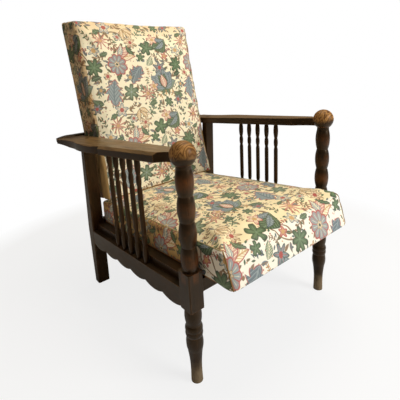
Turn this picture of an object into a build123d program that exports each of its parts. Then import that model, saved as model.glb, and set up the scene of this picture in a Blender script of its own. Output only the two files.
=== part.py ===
from build123d import *
import math
import os

# A turned wooden armchair with a sloping seat that slides forward on runners.
# The upholstered back is hinged to the seat and leans on a cross rail behind the arms,
# so that pulling the seat forward reclines the back.
# X runs across the chair, Y from front to back and Z up.
# The pieces are drawn with the front posts' axes at Y = 0 and the floor at Z = 0.
# At the end all are moved so that the origin is on the floor under the middle of the chair.

os.makedirs("parts", exist_ok=True)

LEFT = -1
RIGHT = 1
SIDES = {"left": LEFT, "right": RIGHT}

# Front posts: a turned leg, a square block, a row of bobbins and a ball
BLOCK_SIDE = 44.0
SEAT_POST_ROOM = 9.0
BLOCK_HEIGHT = 104.0
BLOCK_RISE = 48.0
BLOCK_BEVEL = 2.5
BALL_RADIUS = 31.5
BALL_DROP = 5.1
NECK_DROP = 33.5
NECK_RADIUS = 18.5
BOBBIN_COUNT = 4
BOBBIN_RADIUS = 22.3
BOBBIN_GROOVE_RADIUS = 17.4

# The turned leg's radii, and its heights as shares of the leg under the block
LEG_FOOT_RADIUS = 15.8
LEG_ANKLE_RADIUS = 15.0
LEG_ANKLE_SHARE = 0.135
LEG_SHANK_RADIUS = 16.2
LEG_SHANK_SHARE = 0.307
LEG_BREAST_RADIUS = 19.6
LEG_BREAST_SHARE = 0.442
LEG_VASE_RADIUS = 22.6
LEG_VASE_SHARE = 0.56
LEG_COLLAR_RADIUS = 20.4
LEG_COLLAR_SHARE = 0.632
LEG_RING_RADIUS = 23.0
LEG_RING_GROOVE_RADIUS = 21.8
LEG_RING_SHARE = 0.077
LEG_WAIST_RADIUS = 20.0
LEG_WAIST_SHARE = 0.813
LEG_CUP_RADIUS = 22.4

# Rear posts: plain, square, leaning a little
REAR_POST_WIDTH = 44.0
REAR_POST_SETBACK = 13.2
REAR_POST_LEAN = 0.0437
REAR_POST_FOOT_DEPTH = 34.0
REAR_POST_HIP_HEIGHT = 235.0
REAR_POST_TOP_DEPTH = 26.0
REAR_POST_EDGE = 3.0

# Side rails, scalloped below
RAIL_SLOPE = 0.0885
RAIL_TOP_HEIGHT = 277.5
RAIL_DEPTH = 51.0
RAIL_THICKNESS = 20.0
RAIL_SETBACK = 2.0
LOBE_COUNT = 6
LOBE_DROP = 9.0

# Front and rear rails
FRONT_RAIL_HEIGHT = 35.0
FRONT_RAIL_DROP = 6.5
CROSS_RAIL_THICKNESS = 22.0
REAR_RAIL_HEIGHT = 48.0
REAR_RAIL_RISE = 13.2

# Runners inside the side rails, which carry the seat
RUNNER_RISE = 22.0
RUNNER_DEPTH = 46.0
RUNNER_WIDTH = 45.0
RUNNING_GAP = 0.3

# Tenons of the rails in the posts
TENON_LENGTH = 18.0
TENON_THICKNESS = 8.0
TENON_SHOULDER = 5.0
TENON_GAP = 0.15

# Arms, whose outer edge is measured from the front posts' axes
ARM_SLOPE = 0.079
ARM_TOP_HEIGHT = 623.6
ARM_THICKNESS = 24.0
ARM_BACK_ROOM = 6.0
ARM_NECK_WIDTH = 30.0
ARM_NECK_LENGTH = 36.0
ARM_SHOULDER_REACH = 40.0
ARM_SHOULDER_DISTANCE = 66.0
ARM_WAIST_REACH = 52.0
ARM_STEP_REACH = 65.0
ARM_STEP_DISTANCE = 328.0
ARM_STEP_DROP = 8.0
ARM_STEP_LENGTH = 9.0
ARM_LOBE_REACH = 69.0
ARM_LOBE_LENGTH = 168.0
ARM_OGEE_REACH = 58.0
ARM_OGEE_SHARE = 0.32
ARM_TIP_REACH = 71.0
ARM_TIP_RADIUS = 10.0
ARM_TAIL_THICKNESS = 13.0
ARM_BEVEL_DROP = 6.0
ARM_BEVEL_WIDTH = 10.0
BALL_SEAT_GAP = 0.2

# Spindles under the arms
SPINDLE_COUNT = 5
SPINDLE_PITCH = 44.7
SPINDLE_FRONT = 199.8
SPINDLE_TENON_LENGTH = 9.0
SPINDLE_TENON_GAP = 0.2
SPINDLE_NECK_RADIUS = 5.6
SPINDLE_BULB_RADIUS = 8.7
SPINDLE_BULB_DISTANCE = 28.0
SPINDLE_PINCH_DISTANCE = 56.0
SPINDLE_BEAD_RADIUS = 7.8
SPINDLE_BEAD_DISTANCE = 72.0
SPINDLE_COLLAR_DISTANCE = 89.0
SPINDLE_SHAFT_RADIUS = 7.4
SPINDLE_SHAFT_DISTANCE = 100.0

# Seat unit, measured along and square to its own slope
SEAT_HALF_WIDTH = 250.0
SEAT_NOSE = 114.0
SEAT_LENGTH = 689.0
SEAT_FRONT_LEAN = 21.0
SEAT_EDGE_HEIGHT = 90.0
SEAT_REAR_DROP = 6.0
SEAT_CROWN = 11.0
SEAT_PULL_IN = 4.0
SEAT_COVER = 1.5
SEAT_RAIL_HEIGHT = 48.0
SEAT_RAIL_THICKNESS = 22.0
SEAT_BLOCK_LEG = 40.0
WEB_WIDTH = 50.0
WEB_THICKNESS = 2.0
WEB_LAP = 14.0
SEAT_LONG_WEB_COUNT = 5
SEAT_CROSS_WEB_COUNT = 6

# Back unit, measured along and square to its own face
BACK_LEAN = 11.6
BACK_INSET = 4.0
BACK_HEIGHT = 631.0
BACK_TOP_RISE = 28.0
BACK_THICKNESS = 128.0
BACK_CROWN = 10.0
BACK_PULL_IN = 3.0
BACK_BOARD_THICKNESS = 22.0
BACK_BOARD_DEPTH = 74.0
BACK_COVER = 1.5
BACK_RAIL_THICKNESS = 22.0
BACK_STILE_WIDTH = 45.0
BACK_TOP_RAIL_WIDTH = 50.0
BACK_SLAT_WIDTH = 40.0
BACK_SLAT_COUNT = 2
BACK_UPRIGHT_WEB_COUNT = 4
BACK_CROSS_WEB_COUNT = 5
BACK_CORNER_INSET = 12.0

# Hinges between the seat and the back
HINGE_INSET = 100.0
HINGE_WIDTH = 60.0
HINGE_LEAF = 36.0
HINGE_LEAF_THICKNESS = 2.0
HINGE_KNUCKLE_RADIUS = 4.5
HINGE_PIN_RADIUS = 2.5
HINGE_PIN_GAP = 0.05
HINGE_KNUCKLE_GAP = 0.2
HINGE_STANDOFF = 4.8
HINGE_RISE = 3.5
HINGE_SETBACK = 67.5

# Cross rail that the back leans on
REST_RAIL_HEIGHT = 34.0
REST_RAIL_RISE = 6.0
REST_RAIL_EDGE = 5.0
REST_RAIL_SHOULDER = 58.0
REST_GAP = 0.3

# How far cutting shapes reach past the piece, and how closely edges are told apart
OVERRUN = 20.0
PICKING_TOLERANCE = 0.3

post_x = SEAT_HALF_WIDTH + SEAT_POST_ROOM + BLOCK_SIDE / 2
back_half = SEAT_HALF_WIDTH - BACK_INSET
arm_inner = back_half + ARM_BACK_ROOM
arm_tip = post_x + ARM_TIP_REACH
rail_angle = math.atan(RAIL_SLOPE)
arm_angle = math.atan(ARM_SLOPE)
back_angle = math.radians(BACK_LEAN)
block_top = RAIL_TOP_HEIGHT + BLOCK_RISE
block_bottom = block_top - BLOCK_HEIGHT
ball_height = ARM_TOP_HEIGHT - BALL_DROP
neck_height = ball_height - NECK_DROP
bobbin_pitch = (neck_height - block_top) / BOBBIN_COUNT
rail_outer = post_x + BLOCK_SIDE / 2 - RAIL_SETBACK
rail_inner = rail_outer - RAIL_THICKNESS
rail_middle = rail_outer - RAIL_THICKNESS / 2
seat_rear = SEAT_LENGTH - SEAT_NOSE

# Directions of the seat's slope and of the back's lean, as (Y, Z)
seat_along = (math.cos(rail_angle), -math.sin(rail_angle))
seat_up = (math.sin(rail_angle), math.cos(rail_angle))
back_up = (math.sin(back_angle), math.cos(back_angle))
back_through = (math.cos(back_angle), -math.sin(back_angle))

# The rear posts stand just behind the seat's lower rear edge
rear_post_foot = seat_rear * seat_along[0] + REAR_POST_SETBACK

bed_height = RAIL_TOP_HEIGHT + RUNNER_RISE
front_rail_top = bed_height - FRONT_RAIL_DROP
front_rail_bottom = front_rail_top - FRONT_RAIL_HEIGHT
rear_rail_top = bed_height + seat_rear * seat_along[1] + REAR_RAIL_RISE
rear_rail_bottom = rear_rail_top - REAR_RAIL_HEIGHT
seat_bed = Plane(origin=(0, 0, bed_height), x_dir=(1, 0, 0), z_dir=(0, *seat_up))
arm_top = Plane(
    origin=(0, 0, ARM_TOP_HEIGHT),
    x_dir=(1, 0, 0),
    z_dir=(0, math.sin(arm_angle), math.cos(arm_angle)),
)
arm_under = arm_top.offset(-ARM_THICKNESS)

# The hinge line lies just behind the top rear edge of the seat
hinge_along = seat_rear + HINGE_STANDOFF
hinge_above = SEAT_EDGE_HEIGHT - SEAT_REAR_DROP + HINGE_RISE
hinge_y = hinge_along * seat_along[0] + hinge_above * seat_up[0]
hinge_z = bed_height + hinge_along * seat_along[1] + hinge_above * seat_up[1]

# The back's front lower edge follows from the hinge line
back_foot_y = hinge_y + HINGE_STANDOFF * back_up[0] - HINGE_SETBACK * back_through[0]
back_foot_z = hinge_z + HINGE_STANDOFF * back_up[1] - HINGE_SETBACK * back_through[1]
back_face = Plane(
    origin=(0, back_foot_y, back_foot_z),
    x_dir=(1, 0, 0),
    z_dir=(0, -back_through[0], -back_through[1]),
)

pieces = {}


def keep(name, piece):
    """Name a finished piece and put it with the others."""
    piece.part.label = name
    pieces[name] = piece.part


def rear_post_front(height):
    """Y of the rear posts' front face at a height."""
    return rear_post_foot - REAR_POST_LEAN * height


def arm_top_at(y):
    """Height of the arms' top face at a distance from the front posts."""
    return ARM_TOP_HEIGHT - ARM_SLOPE * y


def rest_edge():
    """Centre of the rounded edge that the back leans on, as (Y, Z)."""
    reach = BACK_THICKNESS + REST_GAP + REST_RAIL_EDGE
    y = back_foot_y + reach
    for _ in range(30):
        z = arm_top_at(y - REST_RAIL_EDGE) + REST_RAIL_RISE - REST_RAIL_EDGE
        y = back_foot_y + (reach - (z - back_foot_z) * back_through[1]) / back_through[0]
    return y, z


rest_y, rest_z = rest_edge()
rest_front = rest_y - REST_RAIL_EDGE
rest_top = rest_z + REST_RAIL_EDGE


def cross_tenon(side, shoulder, y, low, high, spare):
    """A tenon along X at one end of a cross rail, or its mortise when grown by a spare amount."""
    depth = TENON_LENGTH + spare
    with BuildPart() as tenon:
        with Locations((side * (shoulder + (depth - OVERRUN) / 2), y, (low + high) / 2)):
            Box(
                depth + OVERRUN,
                TENON_THICKNESS + 2 * spare,
                high - low - 2 * TENON_SHOULDER + 2 * spare,
            )
    return tenon.part


def side_tenon(side, start, end, spare):
    """A tenon along the slope of a side rail, or its mortise when grown by a spare amount."""
    low_x = side * rail_middle - TENON_THICKNESS / 2 - spare
    profile = Plane(origin=(low_x, 0, RAIL_TOP_HEIGHT), x_dir=(0, *seat_along), z_dir=(1, 0, 0))
    with BuildPart() as tenon:
        with BuildSketch(profile):
            with Locations(((start + end) / 2, -RAIL_DEPTH / 2)):
                Rectangle(end - start + 2 * spare, RAIL_DEPTH - 2 * TENON_SHOULDER + 2 * spare)
        extrude(amount=TENON_THICKNESS + 2 * spare)
    return tenon.part


def front_tenon(side, spare):
    """The side rail's tenon in the front post's block."""
    return side_tenon(side, BLOCK_SIDE / 2 - TENON_LENGTH, BLOCK_SIDE / 2 + OVERRUN, spare)


def rear_tenon(side, spare):
    """The side rail's tenon in the rear post."""
    face = rear_post_front(RAIL_TOP_HEIGHT - RAIL_DEPTH)
    return side_tenon(side, face - OVERRUN, face + TENON_LENGTH, spare)


def make_front_post(name, side):
    """One turned front post with its mortised block, bobbins and ball."""
    x = side * post_x
    block_inner = post_x - BLOCK_SIDE / 2
    rail_mortise = cross_tenon(side, block_inner, 0, front_rail_bottom, front_rail_top, TENON_GAP)
    side_mortise = front_tenon(side, TENON_GAP)
    upright = Plane(origin=(x, 0, 0), x_dir=(1, 0, 0), z_dir=(0, -1, 0))
    ankle = block_bottom * LEG_ANKLE_SHARE
    shank = block_bottom * LEG_SHANK_SHARE
    breast = block_bottom * LEG_BREAST_SHARE
    vase = block_bottom * LEG_VASE_SHARE
    collar = block_bottom * LEG_COLLAR_SHARE
    ring_low = collar + block_bottom * LEG_RING_SHARE
    ring_high = ring_low + block_bottom * LEG_RING_SHARE
    waist = block_bottom * LEG_WAIST_SHARE
    ball_meets_neck = ball_height - math.sqrt(BALL_RADIUS**2 - NECK_RADIUS**2)
    with BuildPart() as post:
        with BuildSketch(upright):
            with BuildLine():
                Line((0, 0), (LEG_FOOT_RADIUS, 0))
                Line((LEG_FOOT_RADIUS, 0), (LEG_ANKLE_RADIUS, ankle))
                ThreePointArc(
                    (LEG_ANKLE_RADIUS, ankle),
                    (LEG_SHANK_RADIUS, shank),
                    (LEG_BREAST_RADIUS, breast),
                )
                ThreePointArc(
                    (LEG_BREAST_RADIUS, breast),
                    (LEG_VASE_RADIUS, vase),
                    (LEG_COLLAR_RADIUS, collar),
                )
                ThreePointArc(
                    (LEG_COLLAR_RADIUS, collar),
                    (LEG_RING_RADIUS, (collar + ring_low) / 2),
                    (LEG_RING_GROOVE_RADIUS, ring_low),
                )
                ThreePointArc(
                    (LEG_RING_GROOVE_RADIUS, ring_low),
                    (LEG_RING_RADIUS, (ring_low + ring_high) / 2),
                    (LEG_WAIST_RADIUS, ring_high),
                )
                Line((LEG_WAIST_RADIUS, ring_high), (LEG_WAIST_RADIUS, waist))
                ThreePointArc(
                    (LEG_WAIST_RADIUS, waist),
                    (LEG_CUP_RADIUS, (waist + block_bottom) / 2),
                    (LEG_WAIST_RADIUS, block_bottom),
                )
                Line((LEG_WAIST_RADIUS, block_bottom), (0, block_bottom))
                Line((0, block_bottom), (0, 0))
            make_face()
        revolve(axis=Axis((x, 0, 0), (0, 0, 1)))
        with BuildSketch(Plane(origin=(x, 0, block_bottom))):
            Rectangle(BLOCK_SIDE, BLOCK_SIDE)
        block = extrude(amount=block_top - block_bottom)
        chamfer(block.edges().filter_by(Axis.Z), BLOCK_BEVEL)
        add(rail_mortise, mode=Mode.SUBTRACT)
        add(side_mortise, mode=Mode.SUBTRACT)
        with BuildSketch(upright):
            with BuildLine():
                Line((0, block_top), (BOBBIN_GROOVE_RADIUS, block_top))
                for i in range(BOBBIN_COUNT):
                    low = block_top + i * bobbin_pitch
                    last = i == BOBBIN_COUNT - 1
                    ThreePointArc(
                        (BOBBIN_GROOVE_RADIUS, low),
                        (BOBBIN_RADIUS, low + bobbin_pitch / 2),
                        (NECK_RADIUS if last else BOBBIN_GROOVE_RADIUS, low + bobbin_pitch),
                    )
                Line((NECK_RADIUS, neck_height), (NECK_RADIUS, ball_meets_neck))
                ThreePointArc(
                    (NECK_RADIUS, ball_meets_neck),
                    (BALL_RADIUS, ball_height),
                    (0, ball_height + BALL_RADIUS),
                )
                Line((0, ball_height + BALL_RADIUS), (0, block_top))
            make_face()
        revolve(axis=Axis((x, 0, 0), (0, 0, 1)))
    keep(name, post)


def make_rear_post(name, side):
    """One plain rear post, deepest at the rails and thinner at the arm."""
    outer = side * rail_outer
    inner = side * (rail_outer - REAR_POST_WIDTH)
    profile = Plane(origin=(min(outer, inner), 0, 0), x_dir=(0, 1, 0), z_dir=(1, 0, 0))
    rear = rear_post_foot + REAR_POST_FOOT_DEPTH
    top = arm_top_at(rear_post_front(ARM_TOP_HEIGHT))
    rail_y = rear_post_front(rear_rail_bottom) + CROSS_RAIL_THICKNESS / 2
    rail_mortise = cross_tenon(side, abs(inner), rail_y, rear_rail_bottom, rear_rail_top, TENON_GAP)
    side_mortise = rear_tenon(side, TENON_GAP)
    with BuildPart() as post:
        with BuildSketch(profile):
            with BuildLine():
                Polyline(
                    (rear_post_front(0), 0),
                    (rear_post_front(top), top),
                    (rear_post_front(top) + REAR_POST_TOP_DEPTH, top),
                    (rear, REAR_POST_HIP_HEIGHT),
                    (rear, 0),
                    close=True,
                )
            make_face()
        extrude(amount=REAR_POST_WIDTH)
        split(bisect_by=arm_under, keep=Keep.BOTTOM)
        long_edges = post.edges().filter_by(lambda e: e.length > REAR_POST_HIP_HEIGHT / 2)
        chamfer(long_edges, REAR_POST_EDGE)
        add(rail_mortise, mode=Mode.SUBTRACT)
        add(side_mortise, mode=Mode.SUBTRACT)
    keep(name, post)


def make_side_rail(name, side):
    """One side rail with round lobes below, tenoned into both posts and drilled for the spindles."""
    low_x = min(side * rail_outer, side * rail_inner)
    profile = Plane(
        origin=(low_x, 0, RAIL_TOP_HEIGHT),
        x_dir=(0, *seat_along),
        z_dir=(1, 0, 0),
    )
    front = BLOCK_SIDE / 2
    rear = rear_post_front(RAIL_TOP_HEIGHT - RAIL_DEPTH)
    pitch = (rear - front) / LOBE_COUNT
    tenons = (front_tenon(side, 0), rear_tenon(side, 0))
    rear_face = Plane(
        origin=(0, rear_post_front(0), 0),
        x_dir=(1, 0, 0),
        z_dir=(0, 1, REAR_POST_LEAN),
    )
    with BuildPart() as rail:
        with BuildSketch(profile):
            with BuildLine():
                Polyline(
                    (front - OVERRUN, -RAIL_DEPTH),
                    (front - OVERRUN, 0),
                    (rear + OVERRUN, 0),
                    (rear + OVERRUN, -RAIL_DEPTH),
                    (rear, -RAIL_DEPTH),
                )
                for i in range(LOBE_COUNT):
                    start = rear - i * pitch
                    ThreePointArc(
                        (start, -RAIL_DEPTH),
                        (start - pitch / 2, -RAIL_DEPTH - LOBE_DROP),
                        (start - pitch, -RAIL_DEPTH),
                    )
                Line((front, -RAIL_DEPTH), (front - OVERRUN, -RAIL_DEPTH))
            make_face()
        extrude(amount=RAIL_THICKNESS)
        split(bisect_by=Plane(origin=(0, front, 0), z_dir=(0, 1, 0)), keep=Keep.TOP)
        split(bisect_by=rear_face, keep=Keep.BOTTOM)
        for tenon in tenons:
            add(tenon)
        for y in spindle_places():
            with Locations((side * rail_middle, y, rail_height(y))):
                Hole(
                    radius=SPINDLE_NECK_RADIUS + SPINDLE_TENON_GAP,
                    depth=SPINDLE_TENON_LENGTH + SPINDLE_TENON_GAP,
                )
    keep(name, rail)


def spindle_places():
    """Y of each spindle, from the front."""
    return [SPINDLE_FRONT + i * SPINDLE_PITCH for i in range(SPINDLE_COUNT)]


def rail_height(y):
    """Height of the side rails' top face."""
    return RAIL_TOP_HEIGHT - RAIL_SLOPE * y


def arm_under_at(y):
    """Height of the arms' lower face."""
    return arm_top_at(y) - ARM_THICKNESS / math.cos(arm_angle)


def make_spindle(name, side, y):
    """One spindle: neck, bulb, bead and shaft, alike at both ends."""
    x = side * rail_middle
    low = rail_height(y)
    high = arm_under_at(y)
    upright = Plane(origin=(x, y, 0), x_dir=(1, 0, 0), z_dir=(0, -1, 0))
    foot = low - SPINDLE_TENON_LENGTH
    head = high + SPINDLE_TENON_LENGTH
    shaft_low = (SPINDLE_SHAFT_RADIUS, low + SPINDLE_SHAFT_DISTANCE)
    shaft_high = (SPINDLE_SHAFT_RADIUS, high - SPINDLE_SHAFT_DISTANCE)
    with BuildPart() as spindle:
        with BuildSketch(upright):
            with BuildLine():
                Polyline((0, foot), (SPINDLE_NECK_RADIUS, foot), (SPINDLE_NECK_RADIUS, low))
                for end, way in ((low, 1), (high, -1)):
                    ThreePointArc(
                        (SPINDLE_NECK_RADIUS, end),
                        (SPINDLE_BULB_RADIUS, end + way * SPINDLE_BULB_DISTANCE),
                        (SPINDLE_NECK_RADIUS, end + way * SPINDLE_PINCH_DISTANCE),
                    )
                    ThreePointArc(
                        (SPINDLE_NECK_RADIUS, end + way * SPINDLE_PINCH_DISTANCE),
                        (SPINDLE_BEAD_RADIUS, end + way * SPINDLE_BEAD_DISTANCE),
                        (SPINDLE_NECK_RADIUS, end + way * SPINDLE_COLLAR_DISTANCE),
                    )
                Polyline(
                    (SPINDLE_NECK_RADIUS, low + SPINDLE_COLLAR_DISTANCE),
                    shaft_low,
                    shaft_high,
                    (SPINDLE_NECK_RADIUS, high - SPINDLE_COLLAR_DISTANCE),
                )
                Polyline((SPINDLE_NECK_RADIUS, high), (SPINDLE_NECK_RADIUS, head), (0, head), (0, foot))
            make_face()
        revolve(axis=Axis((x, y, 0), (0, 0, 1)))
    keep(name, spindle)


def make_arm(name, side):
    """One flat arm: a neck into the ball, a bevelled blade, a lobe and a flared, thinning tail."""
    length = rest_front / math.cos(arm_angle)
    neck_in = post_x - ARM_NECK_WIDTH / 2
    neck_out = post_x + ARM_NECK_WIDTH / 2
    shoulder = post_x + ARM_SHOULDER_REACH
    step = post_x + ARM_STEP_REACH
    shoulder_x = (neck_out + shoulder) / 2
    shoulder_y = (ARM_NECK_LENGTH + ARM_SHOULDER_DISTANCE) / 2
    hollow = ARM_NECK_WIDTH / 8
    step_end = ARM_STEP_DISTANCE + ARM_STEP_LENGTH
    lobe_end = step_end + ARM_LOBE_LENGTH
    ogee_y = lobe_end + (length - lobe_end) * ARM_OGEE_SHARE
    tail_start = rear_post_front(arm_under_at(length)) + REAR_POST_TOP_DEPTH + REAR_POST_EDGE
    tail_view = Plane(
        origin=(min(side * arm_inner, side * arm_tip), 0, ARM_TOP_HEIGHT),
        x_dir=(0, math.cos(arm_angle), -math.sin(arm_angle)),
        z_dir=(1, 0, 0),
    )

    def at(x, y):
        return side * x, y

    with BuildPart() as arm:
        with BuildSketch(arm_top):
            with BuildLine():
                Line(at(neck_in, 0), at(neck_out, 0))
                Line(at(neck_out, 0), at(neck_out, ARM_NECK_LENGTH))
                ThreePointArc(
                    at(neck_out, ARM_NECK_LENGTH),
                    at(shoulder_x - hollow, shoulder_y + hollow),
                    at(shoulder, ARM_SHOULDER_DISTANCE),
                )
                Spline(
                    at(shoulder, ARM_SHOULDER_DISTANCE),
                    at(post_x + ARM_WAIST_REACH, (ARM_SHOULDER_DISTANCE + ARM_STEP_DISTANCE) / 2),
                    at(step, ARM_STEP_DISTANCE),
                )
                Line(at(step, ARM_STEP_DISTANCE), at(step - ARM_STEP_DROP, step_end))
                ThreePointArc(
                    at(step - ARM_STEP_DROP, step_end),
                    at(post_x + ARM_LOBE_REACH, (step_end + lobe_end) / 2),
                    at(step, lobe_end),
                )
                Spline(
                    at(step, lobe_end),
                    at(post_x + ARM_OGEE_REACH, ogee_y),
                    at(arm_tip, length),
                )
                Line(at(arm_tip, length), at(arm_inner, length))
                Line(at(arm_inner, length), at(arm_inner, ARM_SHOULDER_DISTANCE + ARM_NECK_LENGTH))
                ThreePointArc(
                    at(arm_inner, ARM_SHOULDER_DISTANCE + ARM_NECK_LENGTH),
                    at((arm_inner + neck_in) / 2 + hollow, ARM_SHOULDER_DISTANCE),
                    at(neck_in, ARM_NECK_LENGTH),
                )
                Line(at(neck_in, ARM_NECK_LENGTH), at(neck_in, 0))
            make_face()
        extrude(amount=-ARM_THICKNESS)
        tips = arm.edges().filter_by(lambda e: abs(e.length - ARM_THICKNESS) < PICKING_TOLERANCE)
        tip = tips.sort_by(lambda e: -side * e.center().X - e.center().Y)[0]
        fillet(tip, ARM_TIP_RADIUS)
        blade = (
            arm.edges()
            .filter_by(lambda e: abs(arm_top.to_local_coords(e.center()).Z) < PICKING_TOLERANCE)
            .filter_by(lambda e: ARM_SHOULDER_DISTANCE < e.center().Y < ARM_STEP_DISTANCE)
            .filter_by(lambda e: side * e.center().X > post_x)
            .filter_by(lambda e: e.length > ARM_STEP_LENGTH * 3)
        )
        top_face = arm.faces().sort_by(lambda f: arm_top.to_local_coords(f.center()).Z)[-1]
        chamfer(blade, ARM_BEVEL_WIDTH, ARM_BEVEL_DROP, reference=top_face)
        with BuildSketch(tail_view):
            with BuildLine():
                Polyline(
                    (tail_start, -ARM_THICKNESS),
                    (length, -ARM_TAIL_THICKNESS),
                    (length + OVERRUN, -ARM_TAIL_THICKNESS),
                    (length + OVERRUN, -ARM_THICKNESS - OVERRUN),
                    (tail_start, -ARM_THICKNESS - OVERRUN),
                    close=True,
                )
            make_face()
        extrude(amount=arm_tip - arm_inner, mode=Mode.SUBTRACT)
        with Locations((side * post_x, 0, ball_height)):
            Sphere(BALL_RADIUS + BALL_SEAT_GAP, mode=Mode.SUBTRACT)
        for y in spindle_places():
            with Locations((side * rail_middle, y, arm_under_at(y))):
                Hole(
                    radius=SPINDLE_NECK_RADIUS + SPINDLE_TENON_GAP,
                    depth=SPINDLE_TENON_LENGTH + SPINDLE_TENON_GAP,
                )
    keep(name, arm)


def make_box_rail(name, span, y_front, thickness, low, high):
    """One straight rail across the chair, with a tenon at each end."""
    tenons = [cross_tenon(side, span / 2, y_front + thickness / 2, low, high, 0) for side in (LEFT, RIGHT)]
    with BuildPart() as rail:
        with BuildSketch(Plane(origin=(0, y_front, 0), x_dir=(1, 0, 0), z_dir=(0, -1, 0))):
            with Locations((0, (low + high) / 2)):
                Rectangle(span, high - low)
        extrude(amount=-thickness)
        for tenon in tenons:
            add(tenon)
    keep(name, rail)


def make_runner(name, side):
    """One sloping runner, fixed to the inside of a side rail."""
    front = BLOCK_SIDE / 2
    rear_face = Plane(origin=(0, rear_post_front(0), 0), x_dir=(1, 0, 0), z_dir=(0, 1, REAR_POST_LEAN))
    low_x = min(side * rail_inner, side * (rail_inner - RUNNER_WIDTH))
    profile = Plane(origin=(low_x, 0, bed_height), x_dir=(0, *seat_along), z_dir=(1, 0, 0))
    reach = rear_post_front(0)
    with BuildPart() as runner:
        with BuildSketch(profile):
            with Locations((reach / 2, -RUNNING_GAP - RUNNER_DEPTH / 2)):
                Rectangle(reach + 2 * OVERRUN, RUNNER_DEPTH)
        extrude(amount=RUNNER_WIDTH)
        split(bisect_by=Plane(origin=(0, front, 0), z_dir=(0, 1, 0)), keep=Keep.TOP)
        split(bisect_by=rear_face, keep=Keep.BOTTOM)
    keep(name, runner)


def make_rest_rail():
    """The cross rail behind the arms, with a round front edge and sloping ends."""
    outer = arm_tip - ARM_TIP_RADIUS
    low = rest_top - REST_RAIL_HEIGHT
    shoulder = rest_top - REST_RAIL_RISE
    tail_low = shoulder - ARM_TAIL_THICKNESS
    with BuildPart() as rail:
        with BuildSketch(Plane(origin=(0, rest_front, 0), x_dir=(1, 0, 0), z_dir=(0, -1, 0))):
            with BuildLine():
                Polyline(
                    (-outer, shoulder),
                    (-outer, tail_low),
                    (REST_RAIL_SHOULDER - outer, low),
                    (outer - REST_RAIL_SHOULDER, low),
                    (outer, tail_low),
                    (outer, shoulder),
                )
                ThreePointArc(
                    (outer, shoulder),
                    (outer - REST_RAIL_SHOULDER / 3, rest_top - REST_RAIL_RISE / 4),
                    (outer - REST_RAIL_SHOULDER, rest_top),
                )
                Line((outer - REST_RAIL_SHOULDER, rest_top), (REST_RAIL_SHOULDER - outer, rest_top))
                ThreePointArc(
                    (REST_RAIL_SHOULDER - outer, rest_top),
                    (REST_RAIL_SHOULDER / 3 - outer, rest_top - REST_RAIL_RISE / 4),
                    (-outer, shoulder),
                )
            make_face()
        extrude(amount=-CROSS_RAIL_THICKNESS)
        edge = rail.edges().filter_by(Axis.X).group_by(Axis.Z)[-1].sort_by(Axis.Y)[0]
        fillet(edge, REST_RAIL_EDGE)
    keep("rear_cross_rail", rail)


def make_slab(name, plane, across, along, low, high):
    """One plain board in the seat's or the back's own plane."""
    with BuildPart() as slab:
        with BuildSketch(plane.offset(low)):
            with Locations((sum(across) / 2, sum(along) / 2)):
                Rectangle(across[1] - across[0], along[1] - along[0])
        extrude(amount=high - low)
    keep(name, slab)


def make_webbing(name, plane, across, along, count_across, count_along, low):
    """Straps woven across a frame, as one pierced sheet."""
    wide = across[1] - across[0]
    long = along[1] - along[0]
    middle = (sum(across) / 2, sum(along) / 2)
    with BuildPart() as webbing:
        with BuildSketch(plane.offset(low)):
            with Locations(middle):
                with GridLocations(wide / count_along, 0, count_along, 1):
                    Rectangle(WEB_WIDTH, long)
                with GridLocations(0, long / count_across, 1, count_across):
                    Rectangle(wide, WEB_WIDTH)
        extrude(amount=WEB_THICKNESS)
    keep(name, webbing)


def make_seat_side(name, side, inner, outer, front_low, front_high, rear):
    """One side of the seat frame, its front end leaning and its outer corner rounded."""
    with BuildPart() as rail:
        profile = Plane(
            origin=(min(side * inner, side * outer), 0, bed_height),
            x_dir=(0, *seat_along),
            z_dir=(1, 0, 0),
        )
        with BuildSketch(profile):
            with BuildLine():
                Polyline(
                    (front_low, 0),
                    (front_high, SEAT_RAIL_HEIGHT),
                    (rear, SEAT_RAIL_HEIGHT),
                    (rear, 0),
                    close=True,
                )
            make_face()
        extrude(amount=outer - inner)
        end = rail.faces().sort_by(Axis.Y)[0]
        corner = end.edges().sort_by(lambda e: side * e.center().X)[-1]
        fillet(corner, SEAT_RAIL_THICKNESS - SEAT_COVER)
    keep(name, rail)


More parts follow.
